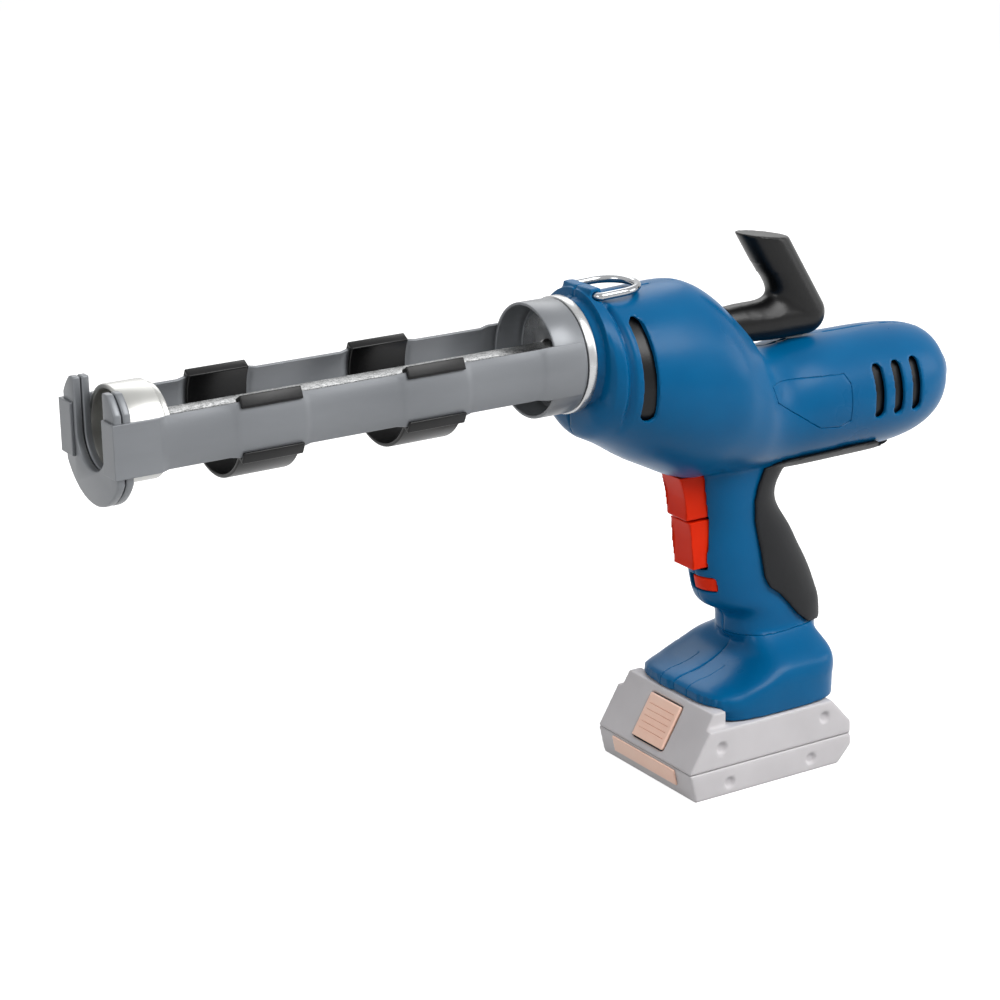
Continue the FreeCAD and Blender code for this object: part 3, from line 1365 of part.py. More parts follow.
def make_terminals():
    rear = mm("foot_rear_x") + mm("wall") + mm("terminal_gap")
    front = rear + mm("terminal_length")
    bottom = mm("foot_bottom_z") + mm("wall")
    body = block((rear, -mm("terminal_half_width"), bottom), (front, mm("terminal_half_width"),
                                                              mm("terminal_top_z")))
    node(feature("terminal_block", body), "terminal_block")
    half = mm("blade_thickness") / 2
    blades = [block((front, y - half, bottom), (front + mm("blade_length"), y + half,
                                                mm("tower_top_z") - half))
              for y in blade_places()]
    node(feature("tool_contacts", Part.makeCompound(blades)), "tool_contacts")
    board = block((rear, -mm("board_half_width"), mm("terminal_top_z")),
                  (rear + mm("board_length"), mm("board_half_width"),
                   mm("terminal_top_z") + mm("board_thickness")))
    node(feature("control_board", board), "control_board")


def make_hanger():
    """Wire ring that hangs the tool; its two ends turn in the lug."""
    end = LUG_CORE_SHARE * mm("lug_half_width") + mm("moving_gap")
    half, length = mm("hanger_half_width"), mm("hanger_length")
    corner = mm("hanger_corner")
    bend_x = half - length
    quarter = corner * (1 - math.sqrt(0.5))
    path = [
        Part.LineSegment(Vector(0, end, 0), Vector(0, half - corner, 0)),
        Part.Arc(Vector(0, half - corner, 0), Vector(-quarter, half - quarter, 0), Vector(-corner, half,
                0)),
        Part.LineSegment(Vector(-corner, half, 0), Vector(bend_x, half, 0)),
        Part.Arc(Vector(bend_x, half, 0), Vector(-length, 0, 0), Vector(bend_x, -half, 0)),
        Part.LineSegment(Vector(bend_x, -half, 0), Vector(-corner, -half, 0)),
        Part.Arc(Vector(-corner, -half, 0), Vector(-quarter, quarter - half, 0), Vector(0, corner - half,
                0)),
        Part.LineSegment(Vector(0, corner - half, 0), Vector(0, -end, 0)),
    ]
    wire = Part.Wire([piece.toShape() for piece in path])
    circle = Part.Circle(Vector(0, end, 0), Vector(0, 1, 0), mm("wire_radius"))
    ring = wire.makePipeShell([Part.Wire(circle.toShape())], True, False)
    ring.rotate(Vector(), Vector(0, 1, 0), mm("hanger_tilt"))
    ring.translate(Vector(mm("lug_x"), 0, mm("axis_z") + mm("ring_pivot_rise")))
    node(feature("hanger_ring", ring), "hanger_ring")


def make_guide():
    """Plastic guide between the side plates that steadies the rod behind the nose."""
    body = box("guide_body", ("guide_x", "seat_gap - frame_y", "axis_z - guide_drop"),
               ("guide_x + guide_length", "frame_y - seat_gap", "axis_z + guide_rise"))
    window = box("guide_window",
                 ("guide_x - overrun", "-rod_width / 2 - guide_gap", "axis_z - rod_height / 2 - guide_gap"),
                 ("guide_x + guide_length + overrun", "rod_width / 2 + guide_gap",
                  "axis_z + rod_height / 2 + guide_gap"))
    node(cut("rod_guide", body, window), "rod_guide")


# battery pack
BATTERY_X_SHARES = [0.080, 0.965, 1.000, 0.881, 0.126, 0.005, 0.000]
BATTERY_Z_SHARES = [0, 0, 0.435, 1, 1, 0.615, 0.240]


def battery_outline(inset):
    """Side outline of the pack: sloped front above a low upright strip, chamfered rear."""
    span = mm("battery_front_x") - mm("battery_rear_x")
    middle = (mm("battery_front_x") + mm("battery_rear_x")) / 2
    height = mm("battery_top_z")
    outline = [(mm("battery_rear_x") + x * span, z * height) for x, z in zip(BATTERY_X_SHARES,
            BATTERY_Z_SHARES)]
    shrink_x, shrink_z = 1 - 2 * inset / span, 1 - 2 * inset / height
    return [(middle + (x - middle) * shrink_x, height / 2 + (z - height / 2) * shrink_z) for x,
            z in outline]


def slope_x(z):
    """Where the sloped front, carried on upwards, is at a height."""
    (low_x, low_z), (high_x, high_z) = battery_outline(0)[2:4]
    return low_x + (high_x - low_x) * (z - low_z) / (high_z - low_z)


def battery_nose():
    """The pack's raised front, which fills the notch under the foot's lip."""
    rear, high = mm("foot_notch_x") + mm("moving_gap"), mm("battery_nose_z")
    low = mm("battery_top_z") - mm("battery_wall")
    return side_prism([(rear, low), (slope_x(low), low), (slope_x(high), high), (rear, high)],
                      mm("battery_nose_half_width"))


def slope_frame():
    """Middle of the sloped front and the turn that lays a box on it."""
    low_x, low_z = battery_outline(0)[2]
    high_x, high_z = slope_x(mm("battery_nose_z")), mm("battery_nose_z")
    lean = math.degrees(math.atan2(low_x - high_x, high_z - low_z))
    return Vector((low_x + high_x) / 2, 0, (low_z + high_z) / 2), lean


def on_slope(length, half_width, depth, rise):
    """A box let into the sloped front; rise is how far it stands proud."""
    middle, lean = slope_frame()
    solid = block((-depth, -half_width, -length / 2), (rise, half_width, length / 2))
    solid.rotate(Vector(), Vector(0, 1, 0), -lean)
    solid.translate(middle)
    return solid


def battery_screw_places():
    return [(way_x * mm("battery_screw_x"), way_y * mm("battery_screw_y")) for way_x in (-1,
            1) for way_y in (-1, 1)]


def battery_tower():
    """The pack's upper block: its side lips hang on the casing's rails."""
    neck = mm("tower_half_width") - mm("tower_neck")
    low = block((mm("tower_rear_x"), -neck, mm("battery_top_z") - mm("battery_wall")),
                (mm("tower_front_x"), neck, mm("tower_top_z")))
    lip = block((mm("tower_rear_x"), -mm("tower_half_width"), mm("tower_lip_z")),
                (mm("tower_front_x"), mm("tower_half_width"), mm("tower_top_z")))
    tower = low.fuse(lip)
    half = mm("blade_thickness") + mm("seat_gap") * 4
    slot_end = mm("tower_rear_x") + mm("blade_length") + mm("blade_thickness")
    bottom = mm("foot_bottom_z") + mm("wall") / 2
    slots = [block((mm("tower_rear_x") - mm("overrun"), y - half, bottom),
                   (slot_end, y + half, mm("tower_top_z") + mm("overrun"))) for y in blade_places()]
    return tower.cut(slots), slot_end, bottom


def make_battery():
    wide, wall = mm("battery_half_width"), mm("battery_wall")
    outer = side_prism(battery_outline(0), wide)
    hollow = side_prism(battery_outline(wall), wide - wall)
    shell = outer.cut(hollow)
    far = 2 * mm("axis_z")
    split = mm("battery_split_z")
    lower = shell.common(block((-far, -far, -far), (far, far, split)))
    upper = shell.common(block((-far, -far, split), (far, far, far)))
    tower, slot_end, slot_bottom = battery_tower()
    gap, screw_r, head_r = mm("seat_gap"), mm("battery_screw_radius"), mm("battery_head_radius")
    top, seat = mm("battery_top_z"), wall / 2
    places = battery_screw_places()
    bosses = [Part.makeCylinder(mm("battery_boss_radius"), top - seat - split, Vector(x, y,
            split)) for x, y in places]
    holes = [Part.makeCylinder(screw_r + gap, top - wall, Vector(x, y, -wall)) for x, y in places]
    heads = [Part.makeCylinder(head_r + gap, wall + seat, Vector(x, y, -wall)) for x, y in places]
    window = on_slope(mm("button_length") + 2 * mm("moving_gap"),
                      mm("button_half_width") + mm("moving_gap"),
                      2 * mm("button_depth"), mm("overrun"))
    node(feature("battery_base", lower.cut(holes + heads)), "battery_base")
    node(feature("battery_cover", upper.fuse([tower, battery_nose()] + bosses).cut(holes + [window])),
         "battery_cover")
    screws = []
    for x, y in places:
        shank = Part.makeCylinder(screw_r, top - 3 * wall, Vector(x, y, seat))
        head = Part.makeCylinder(head_r, seat / 2, Vector(x, y, seat / 2))
        screws.append(shank.fuse(head))
    node(feature("battery_screws", Part.makeCompound(screws)), "battery_screws")
    button = on_slope(mm("button_length"), mm("button_half_width"), mm("button_depth") - mm("button_rise"),
                      mm("button_rise"))
    node(feature("battery_release", button), "battery_release")
    strip_z = mm("battery_split_z") - mm("strip_height") - mm("fillet") / 2
    skin = side_prism(battery_outline(-mm("strip_thickness")), mm("strip_half_width"))
    strip = skin.common(block((0, -far, strip_z), (far, far, strip_z + mm("strip_height"))))
    node(feature("battery_strip", strip.cut(outer)), "battery_strip")
    half = mm("blade_thickness")
    contacts = [block((slot_end - 2 * mm("blade_thickness"), y - half, slot_bottom),
                      (slot_end, y + half, mm("tower_top_z") - half)) for y in blade_places()]
    node(feature("battery_contacts", Part.makeCompound(contacts)), "battery_contacts")


CELL_COUNT = 5


def make_cells():
    """Cells lying across the pack, every other one raised so that they nest."""
    half = mm("cell_length") / 2
    cells = [y_cylinder(mm("cell_radius"), -half, half, mm("cell_first_x") - step * mm("cell_pitch"),
                        mm("cell_low_z") + (step % 2) * mm("cell_step_z")) for step in range(CELL_COUNT)]
    node(feature("battery_cells", Part.makeCompound(cells)), "battery_cells")


def check_and_write():
    """Refuses any failed object or broken solid, then writes one file per sub-part."""
    doc.recompute()
    for obj in doc.Objects:
        if "Invalid" in obj.State or "Error" in obj.State:
            raise RuntimeError(f"{obj.Label} failed: {obj.State}")
    for obj in NODES:
        if obj.Shape.isNull() or not obj.Shape.isValid() or not obj.Shape.Solids:
            raise RuntimeError(f"{obj.Label} has no valid solid")
    os.makedirs("parts", exist_ok=True)
    for obj in NODES:
        obj.Shape.exportStep(f"parts/{obj.Label}.step")
        print(obj.Label, len(obj.Shape.Solids), round(obj.Shape.Volume, 1))


def main():
    make_casing()
    make_screws()
    make_rear_cap()
    make_grip()
    make_baffles()
    make_hanger()
    make_nose()
    make_holder_ring()
    make_rails()
    make_plate("front_plate", "plate_front_x")
    make_plate("backing_plate", "(plate_front_x - plate_thickness - plate_gap)")
    make_saddles()
    make_rod()
    screw = make_piston()
    pin = make_pull_handle()
    make_rod_fasteners(screw, pin)
    make_pinion_shaft()
    make_clutch_gear()
    make_crown_shaft()
    make_frames()
    make_gearbox()
    make_motor()
    make_triggers()
    make_lock()
    make_terminals()
    make_guide()
    make_battery()
    make_cells()
    check_and_write()


main()
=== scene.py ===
"""Looks of a cordless caulking tool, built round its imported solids."""

import json
import math

import bmesh
import bpy
from mathutils import Matrix, Vector

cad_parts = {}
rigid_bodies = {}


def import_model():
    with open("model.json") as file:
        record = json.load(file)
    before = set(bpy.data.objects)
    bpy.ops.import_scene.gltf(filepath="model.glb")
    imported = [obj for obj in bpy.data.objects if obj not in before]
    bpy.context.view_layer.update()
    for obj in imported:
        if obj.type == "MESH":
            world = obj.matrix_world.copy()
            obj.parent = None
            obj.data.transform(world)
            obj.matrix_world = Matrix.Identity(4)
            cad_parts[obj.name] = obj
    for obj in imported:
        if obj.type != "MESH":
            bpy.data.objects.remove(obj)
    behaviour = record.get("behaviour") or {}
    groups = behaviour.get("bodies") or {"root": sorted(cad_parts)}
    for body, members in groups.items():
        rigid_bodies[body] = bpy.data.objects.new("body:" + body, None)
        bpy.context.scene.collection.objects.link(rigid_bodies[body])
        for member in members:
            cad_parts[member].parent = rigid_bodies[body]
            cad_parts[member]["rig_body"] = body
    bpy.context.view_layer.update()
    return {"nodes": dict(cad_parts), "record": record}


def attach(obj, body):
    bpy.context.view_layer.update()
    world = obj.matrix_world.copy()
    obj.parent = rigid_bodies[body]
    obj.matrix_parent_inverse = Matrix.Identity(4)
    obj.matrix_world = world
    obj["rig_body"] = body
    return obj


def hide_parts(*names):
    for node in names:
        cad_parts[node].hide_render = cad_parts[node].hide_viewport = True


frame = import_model()
scene = bpy.context.scene
scene.view_settings.view_transform = "Standard"
MM = 0.001
AXIS_Z = 221.5 * MM


# Colours and finishes

CLOUD_LOW, CLOUD_HIGH = 0.3, 0.7
ZINC_LOW, ZINC_HIGH = 0.35, 0.62
CLOUD_DETAIL, STREAK_DETAIL, GRAIN_DETAIL = 3.0, 4.0, 2.0
PLASTIC_GRAIN, METAL_GRAIN, ZINC_GRAIN = 0.12 * MM, 0.08 * MM, 0.1 * MM
PLASTIC_PATCH, METAL_PATCH = 28.0, 40.0
PLASTIC_WEAR, METAL_WEAR, ZINC_WEAR = (-0.03, 0.04), (-0.04, 0.05), (-0.1, 0.12)
ZINC_METALLIC, ZINC_FINENESS = 0.85, 2.5
SPANGLE_BUMP, ZINC_BUMP = 0.25, 0.3
PLAIN_GLOSS = 0.3


def srgb(red, green, blue):
    """A colour as it looks on a screen, in the shader's linear values."""
    out = []
    for value in (red, green, blue):
        share = value / 255
        out.append(share / 12.92 if share <= 0.04045 else ((share + 0.055) / 1.055) ** 2.4)
    return (*out, 1.0)


def link(tree, source, target):
    tree.links.new(source, target)


def blank(name):
    """A material with its node tree, its shader and the piece's own coordinates."""
    made = bpy.data.materials.new(name)
    made.use_nodes = True
    tree = made.node_tree
    shader = tree.nodes["Principled BSDF"]
    place = tree.nodes.new("ShaderNodeTexCoord")
    return made, tree, shader, place.outputs["Object"]


def mapped(tree, place, scale):
    """The coordinates stretched by a scale for each axis."""
    node = tree.nodes.new("ShaderNodeMapping")
    node.inputs["Scale"].default_value = scale
    link(tree, place, node.inputs["Vector"])
    return node.outputs["Vector"]


def noise(tree, place, scale, detail):
    node = tree.nodes.new("ShaderNodeTexNoise")
    node.inputs["Scale"].default_value = scale
    node.inputs["Detail"].default_value = detail
    link(tree, place, node.inputs["Vector"])
    return node.outputs["Fac"]


def cells(tree, place, scale):
    node = tree.nodes.new("ShaderNodeTexVoronoi")
    node.inputs["Scale"].default_value = scale
    link(tree, place, node.inputs["Vector"])
    return node.outputs["Color"]


def ramp(tree, value, dark, light, low=CLOUD_LOW, high=CLOUD_HIGH):
    """A colour between two as a value goes from low to high."""
    node = tree.nodes.new("ShaderNodeValToRGB")
    first, last = node.color_ramp.elements
    first.position, first.color = low, dark
    last.position, last.color = high, light
    link(tree, value, node.inputs["Fac"])
    return node.outputs["Color"]


def spread(tree, value, low, high, start=CLOUD_LOW, end=CLOUD_HIGH):
    """A number between low and high as a value goes from start to end."""
    node = tree.nodes.new("ShaderNodeMapRange")
    limits = (("From Min", start), ("From Max", end), ("To Min", low), ("To Max", high))
    for key, number in limits:
        node.inputs[key].default_value = number
    link(tree, value, node.inputs["Value"])
    return node.outputs["Result"]


def dented(tree, shader, height, strength, distance, under=None):
    """A bump of the given height on the shader, over another bump if there is one."""
    node = tree.nodes.new("ShaderNodeBump")
    node.inputs["Strength"].default_value = strength
    node.inputs["Distance"].default_value = distance
    link(tree, height, node.inputs["Height"])
    if under is not None:
        link(tree, under, node.inputs["Normal"])
    link(tree, node.outputs["Normal"], shader.inputs["Normal"])
    return node.outputs["Normal"]


def worn(tree, shader, value, rough, wear):
    """The shader's roughness varies by this much as a value goes through its range."""
    low, high = wear
    link(tree, spread(tree, value, rough + low, rough + high), shader.inputs["Roughness"])


def moulded(name, dark, light, rough, grain, strength, gloss=PLAIN_GLOSS):
    """Moulded plastic or rubber: uneven colour, uneven gloss and a fine eroded grain."""
    made, tree, shader, place = blank(name)
    cloud = noise(tree, place, PLASTIC_PATCH, CLOUD_DETAIL)
    link(tree, ramp(tree, cloud, dark, light), shader.inputs["Base Color"])
    worn(tree, shader, cloud, rough, PLASTIC_WEAR)
    dented(tree, shader, noise(tree, place, grain, GRAIN_DETAIL), strength, PLASTIC_GRAIN)
    shader.inputs["Specular IOR Level"].default_value = gloss
    return made


def metal(name, dark, light, rough, grain, strength, stretch=(1, 1, 1), metallic=1.0):
    """Metal with a cloudy tone, streaks along its stretched axis and a fine grain."""
    made, tree, shader, place = blank(name)
    shader.inputs["Metallic"].default_value = metallic
    cloud = noise(tree, mapped(tree, place, stretch), METAL_PATCH, STREAK_DETAIL)
    link(tree, ramp(tree, cloud, dark, light), shader.inputs["Base Color"])
    worn(tree, shader, cloud, rough, METAL_WEAR)
    fine = noise(tree, mapped(tree, place, stretch), grain, GRAIN_DETAIL)
    dented(tree, shader, fine, strength, METAL_GRAIN)
    return made


def galvanised(name, dark, light, rough, scale):
    """A zinc coat with its crystal spangle."""
    made, tree, shader, place = blank(name)
    shader.inputs["Metallic"].default_value = ZINC_METALLIC
    spangle = cells(tree, place, scale)
    fine = noise(tree, place, scale * ZINC_FINENESS, GRAIN_DETAIL)
    tone = ramp(tree, fine, dark, light, ZINC_LOW, ZINC_HIGH)
    link(tree, tone, shader.inputs["Base Color"])
    worn(tree, shader, spangle, rough, ZINC_WEAR)
    under = dented(tree, shader, spangle, SPANGLE_BUMP, ZINC_GRAIN)
    dented(tree, shader, fine, ZINC_BUMP, ZINC_GRAIN, under)
    return made


# Kind, dark and light tone, and then the kind's other values in their order
FINISHES = {
    "casing_blue": (moulded, (0, 86, 134), (0, 93, 142), 0.30, 2600, 0.10, 0.12),
    "grip_black": (moulded, (12, 13, 15), (20, 21, 24), 0.52, 1700, 0.45, 0.2),
    "black_plastic": (moulded, (3, 3, 4), (7, 7, 8), 0.32, 1500, 0.25, 0.24),
    "trigger_red": (moulded, (218, 36, 0), (230, 46, 4), 0.38, 2200, 0.08, 0.1),
    "holder_grey": (metal, (112, 115, 119), (124, 127, 131), 0.38, 1600, 0.10, (0.2, 1, 1), 0.2),
    "piston_silver": (metal, (168, 168, 165), (184, 184, 181), 0.34, 900, 0.10,
                      (1, 0.15, 0.15), 0.85),
    "rod_zinc": (galvanised, (92, 93, 94), (166, 167, 167), 0.42, 620),
    "nose_metal": (metal, (168, 169, 170), (188, 189, 189), 0.27, 1400, 0.12, (0.1, 1, 1), 0.9),
    "bright_ring": (metal, (150, 152, 155), (170, 172, 174), 0.16, 700, 0.05),
    "gear_steel": (metal, (132, 132, 134), (162, 162, 164), 0.32, 1400, 0.15),
    "frame_alloy": (metal, (170, 171, 173), (192, 193, 194), 0.48, 1200, 0.35),
    "bush_bronze": (metal, (176, 132, 70), (206, 160, 92), 0.36, 1300, 0.2),
    "motor_steel": (metal, (124, 125, 128), (150, 151, 153), 0.40, 1300, 0.15, (0.2, 1, 1)),
    "magnet_dark": (moulded, (52, 52, 54), (66, 66, 69), 0.55, 1500, 0.4),
    "board_green": (moulded, (18, 84, 48), (30, 104, 60), 0.34, 900, 0.2),
    "battery_grey": (moulded, (196, 193, 195), (207, 204, 206), 0.46, 1900, 0.2),
    "battery_trim": (moulded, (250, 205, 184), (254, 218, 199), 0.44, 1900, 0.15),
    "cell_case": (moulded, (46, 96, 140), (60, 112, 156), 0.35, 900, 0.1),
}
FINISH = {name: kind(name, srgb(*dark), srgb(*light), *values)
          for name, (kind, dark, light, *values) in FINISHES.items()}
SLOT_OF = {row["node"]: row["material_slot"] for row in frame["record"]["subparts"]}


# Ways to make a piece from its solid

# Turns and sharp angles are in degrees. A skin is its voxel, its rounds of smoothing and its
# rounds of calming. A line is its half width and its depth.
JOIN_WITHIN = 0.004 * MM
FLAT_TURN = 0.6
EDGE_TURN = 14
PLAIN_TURN = 32
PLAIN_SHARP = 38
SMOOTH_FACTOR = 0.5
KEPT_SHARE = 0.5
CRUMB_FACES = 60
CUT_WITHIN, ON_PLANE = 1e-7, 1e-6


def eased_step(value):
    """From 0 to 1 with a soft start and end."""
    value = min(1.0, max(0.0, value))
    return value * value * (3 - 2 * value)


def copied(node):
    """The solid's mesh, with its loose triangles joined."""
    made = bmesh.new()
    made.from_mesh(frame["nodes"][node].data)
    bmesh.ops.remove_doubles(made, verts=made.verts, dist=JOIN_WITHIN)
    return made


def after_modifiers(mesh_in, *steps):
    """The mesh after these modifiers, each a kind with its settings."""
    mesh = bpy.data.meshes.new("working")
    mesh_in.to_mesh(mesh)
    mesh_in.free()
    obj = bpy.data.objects.new("working", mesh)
    scene.collection.objects.link(obj)
    for kind, settings in steps:
        modifier = obj.modifiers.new(kind.lower(), kind)
        for key, value in settings.items():
            setattr(modifier, key, value)
    made = bmesh.new()
    made.from_object(obj, bpy.context.evaluated_depsgraph_get())
    bpy.data.objects.remove(obj)
    bpy.data.meshes.remove(mesh)
    return made


def calmed(mesh, verts, rounds):
    """These corners moved towards the middle of their neighbours, round by round."""
    for _ in range(rounds):
        bmesh.ops.smooth_vert(mesh, verts=verts, factor=SMOOTH_FACTOR, use_axis_x=True,
                              use_axis_y=True, use_axis_z=True)


def softened(mesh_in, voxel, rounds, calm=0):
    """A moulded skin over the mesh: edges flow over about two voxels, faces are calmed further."""
    made = after_modifiers(
        mesh_in,
        ("REMESH", {"mode": "VOXEL", "voxel_size": voxel, "adaptivity": 0.0}),
        ("SMOOTH", {"factor": SMOOTH_FACTOR, "iterations": rounds}),
    )
    if calm:
        limit = math.radians(EDGE_TURN)
        edged = {v for e in made.edges if e.calc_face_angle_signed(0) > limit for v in e.verts}
        calmed(made, [v for v in made.verts if v not in edged], calm)
    return made


def thinned(mesh):
    """The mesh with fewer triangles."""
    return after_modifiers(mesh, ("DECIMATE", {"ratio": KEPT_SHARE}))


def without_crumbs(mesh):
    """The mesh without the loose crumbs that a remesh can leave."""
    left = set(mesh.faces)
    crumbs = []
    while left:
        island = [left.pop()]
        for face in island:
            near = {f for e in face.edges for f in e.link_faces if f in left}
            left -= near
            island.extend(near)
        if len(island) < CRUMB_FACES:
            crumbs.extend(island)
    bmesh.ops.delete(mesh, geom=crumbs, context="FACES")
    return mesh


def sharp_edges(mesh, angle):
    limit = math.radians(angle)
    return [e for e in mesh.edges if len(e.link_faces) == 2 and e.calc_face_angle(0) > limit]


def eased(mesh, width, angle=PLAIN_TURN, segments=2):
    """The mesh with its sharp edges rounded, after its flat faces are made whole."""
    bmesh.ops.dissolve_limit(mesh, angle_limit=math.radians(FLAT_TURN), verts=mesh.verts,
                             edges=mesh.edges, delimit=set())
    bmesh.ops.bevel(mesh, geom=sharp_edges(mesh, angle), offset=width, offset_type="OFFSET",
                    segments=segments, profile=0.5, affect="EDGES", clamp_overlap=True, material=-1)
    return mesh


def piece(mesh, name, node, sharp=PLAIN_SHARP):
    """The finished piece: it rides with its solid's body and stands for the solid."""
    data = bpy.data.meshes.new(name)
    mesh.to_mesh(data)
    mesh.free()
    data.shade_smooth()
    if sharp:
        data.set_sharp_from_angle(angle=math.radians(sharp))
    obj = bpy.data.objects.new(name, data)
    scene.collection.objects.link(obj)
    slot = SLOT_OF[node]
    data.materials.append(FINISH[slot])
    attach(obj, frame["nodes"][node]["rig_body"])
    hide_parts(node)


def part_of(mesh, inside):
    """The faces whose middle passes the test, with their edges and corners, in a fixed order."""
    faces = [f for f in mesh.faces if inside(f.calc_center_median())]
    edges = dict.fromkeys(e for f in faces for e in f.edges)
    verts = dict.fromkeys(v for f in faces for v in f.verts)
    return [*verts, *edges, *faces]


def groove(mesh, at, normal, inside, line, inward=None, pressed=None):
    """A groove of a half width and a depth, where a plane cuts the faces inside.

    It is pressed inward, or against the normals, where the last test passes.
    """
    half_width, depth = line
    pressed = pressed or inside
    at, normal = Vector(at), Vector(normal).normalized()
    for shift in (-half_width, half_width, 0.0):
        bmesh.ops.bisect_plane(mesh, geom=part_of(mesh, inside), dist=CUT_WITHIN,
                               plane_co=at + normal * shift, plane_no=normal)
    mesh.normal_update()
    for v in mesh.verts:
        if abs((v.co - at).dot(normal)) < ON_PLANE and pressed(v.co):
            v.co += (inward(v.co) if inward else -v.normal) * depth


# The casing

CASING_SKIN = (0.85 * MM, 3, 24)
COVER_SKIN = (0.7 * MM, 5)
CASING_SHARP = 40
NEAR = 4 * MM
PAD_LINE, FOOT_LINE, BASE_LINE = (0.4 * MM, 0.45 * MM), (0.5 * MM, 0.8 * MM), (0.4 * MM, 0.6 * MM)
PAD_LEAST_Y = 14 * MM
PAD_CORNERS = ((-3.9, 197.6), (-50.6, 195.6), (-53.3, 190.8), (-52.7, 173.0), (-46.7, 170.5),
               (-34.4, 172.0), (-7.0, 189.4))
HANDLE_X = -14 * MM
FOOT_LINE_Y, FOOT_LINE_X, FOOT_TOP_Z = 10.5 * MM, 6.0 * MM, 62 * MM
FOOT_INWARD = Vector((-0.5, 0, -0.86))
BASE_LINE_Z, BASE_LINE_UP = 67.5 * MM, (0.03, 0, 1)
LIP_START_X, LIP_END_X, LIP_RISE = 12 * MM, 30 * MM, 3.0 * MM
LIP_LOW_Z, LIP_HIGH_Z = 43.2 * MM, 60 * MM
COLLAR_GROOVE_X, COLLAR_GROOVE_HALF, COLLAR_GROOVE_DEPTH = 79.0 * MM, 2.6 * MM, 2.2 * MM
COLLAR_REAR_X, COLLAR_SQUEEZE = 85.6 * MM, 0.36
COLLAR_FACING = 0.1
NECK_RADIUS, NECK_FLARE = 25.0 * MM, 1.4 * MM
LUG_HALF_Y, LUG_FADE = 12.6 * MM, 3.0 * MM
CHIN_SINE, CHIN_FADE = -0.85, 0.3


def line_groove(mesh, start, end):
    """A groove from start to end, seen from the left, on the left outer face."""
    start, end = Vector((start[0], 0, start[1])) * MM, Vector((end[0], 0, end[1])) * MM
    along = (end - start).normalized()
    across = along.cross(Vector((0, 1, 0)))

    def near(p, beyond=NEAR):
        flat = Vector((p.x, 0, p.z)) - start
        reach = flat.dot(along)
        return (p.y > PAD_LEAST_Y and -beyond < reach < (end - start).length + beyond
                and abs(flat.dot(across)) < NEAR)

    groove(mesh, start, across, near, PAD_LINE, lambda p: Vector((0, -1, 0)),
           lambda p: near(p, PAD_LINE[0]))


def pad_outline(mesh):
    """The outline of the pad on the barrel's left side."""
    for start, end in zip(PAD_CORNERS, PAD_CORNERS[1:] + PAD_CORNERS[:1]):
        line_groove(mesh, start, end)


def foot_lines(mesh, side):
    """The line beside the foot's middle panel and the line round the handle's base."""
    def by_panel(p):
        return abs(abs(p.y) - FOOT_LINE_Y) < NEAR and p.x > FOOT_LINE_X and p.z < FOOT_TOP_Z

    groove(mesh, (0, side * FOOT_LINE_Y, 0), (0, 1, 0), by_panel, FOOT_LINE, lambda p: FOOT_INWARD)
    groove(mesh, (0, 0, BASE_LINE_Z), BASE_LINE_UP, lambda p: abs(p.z - BASE_LINE_Z) < NEAR,
           BASE_LINE, lambda p: Vector((HANDLE_X - p.x, -p.y, 0)).normalized())


def raise_lip(mesh):
    """The foot's top swells towards its front edge, which leaves a full lip over the pack."""
    for v in mesh.verts:
        if v.co.x > LIP_START_X and LIP_LOW_Z < v.co.z < LIP_HIGH_Z:
            v.co.z += LIP_RISE * eased_step((v.co.x - LIP_START_X) / (LIP_END_X - LIP_START_X))


def shape_collar(mesh):
    """The groove behind the collar's bead and the gap between the bead and the nut."""
    mesh.normal_update()
    moves = []
    for v in mesh.verts:
        out = Vector((0, v.co.y, v.co.z - AXIS_Z))
        if v.co.x < COLLAR_GROOVE_X - COLLAR_GROOVE_HALF or out.length < NECK_RADIUS:
            continue
        clear_of_chin = eased_step((out.z / out.length - CHIN_SINE) / CHIN_FADE)
        back = (v.co.x - COLLAR_REAR_X) * (1 - COLLAR_SQUEEZE)
        back *= clear_of_chin * eased_step((out.length - NECK_RADIUS) / NECK_FLARE)
        inward = 0.0
        away = abs(v.co.x - COLLAR_GROOVE_X) / COLLAR_GROOVE_HALF
        if away < 1 and v.normal.dot(out) > COLLAR_FACING * out.length:
            inward = COLLAR_GROOVE_DEPTH * clear_of_chin * eased_step(1 - away)
            if out.z > 0:
                inward *= eased_step((abs(v.co.y) - LUG_HALF_Y) / LUG_FADE)
        moves.append((v, Vector((-max(0.0, back), 0, 0)) - out.normalized() * inward))
    for v, move in moves:
        v.co += move


def make_casing():
    for side, sign in (("left", 1), ("right", -1)):
        skin = softened(copied(f"housing_{side}"), *CASING_SKIN)
        shape_collar(skin)
        skin = thinned(skin)
        if side == "left":
            pad_outline(skin)
        raise_lip(skin)
        foot_lines(skin, sign)
        piece(without_crumbs(skin), f"casing_{side}", f"housing_{side}", CASING_SHARP)
    piece(softened(copied("rear_cap"), *COVER_SKIN), "tail_cap", "rear_cap", sharp=None)
    piece(softened(copied("grip_pad"), *COVER_SKIN), "grip_cover", "grip_pad", sharp=None)


# The cartridge holder, the nose and its nut

RAIL_EDGE, RAIL_SHARP = 0.35 * MM, 16
PLAIN_EDGE = 0.5 * MM
PLATE_EDGE = 0.9 * MM
SADDLE_EDGE, SADDLE_TURN, SADDLE_SHARP = 0.8 * MM, 40, 50


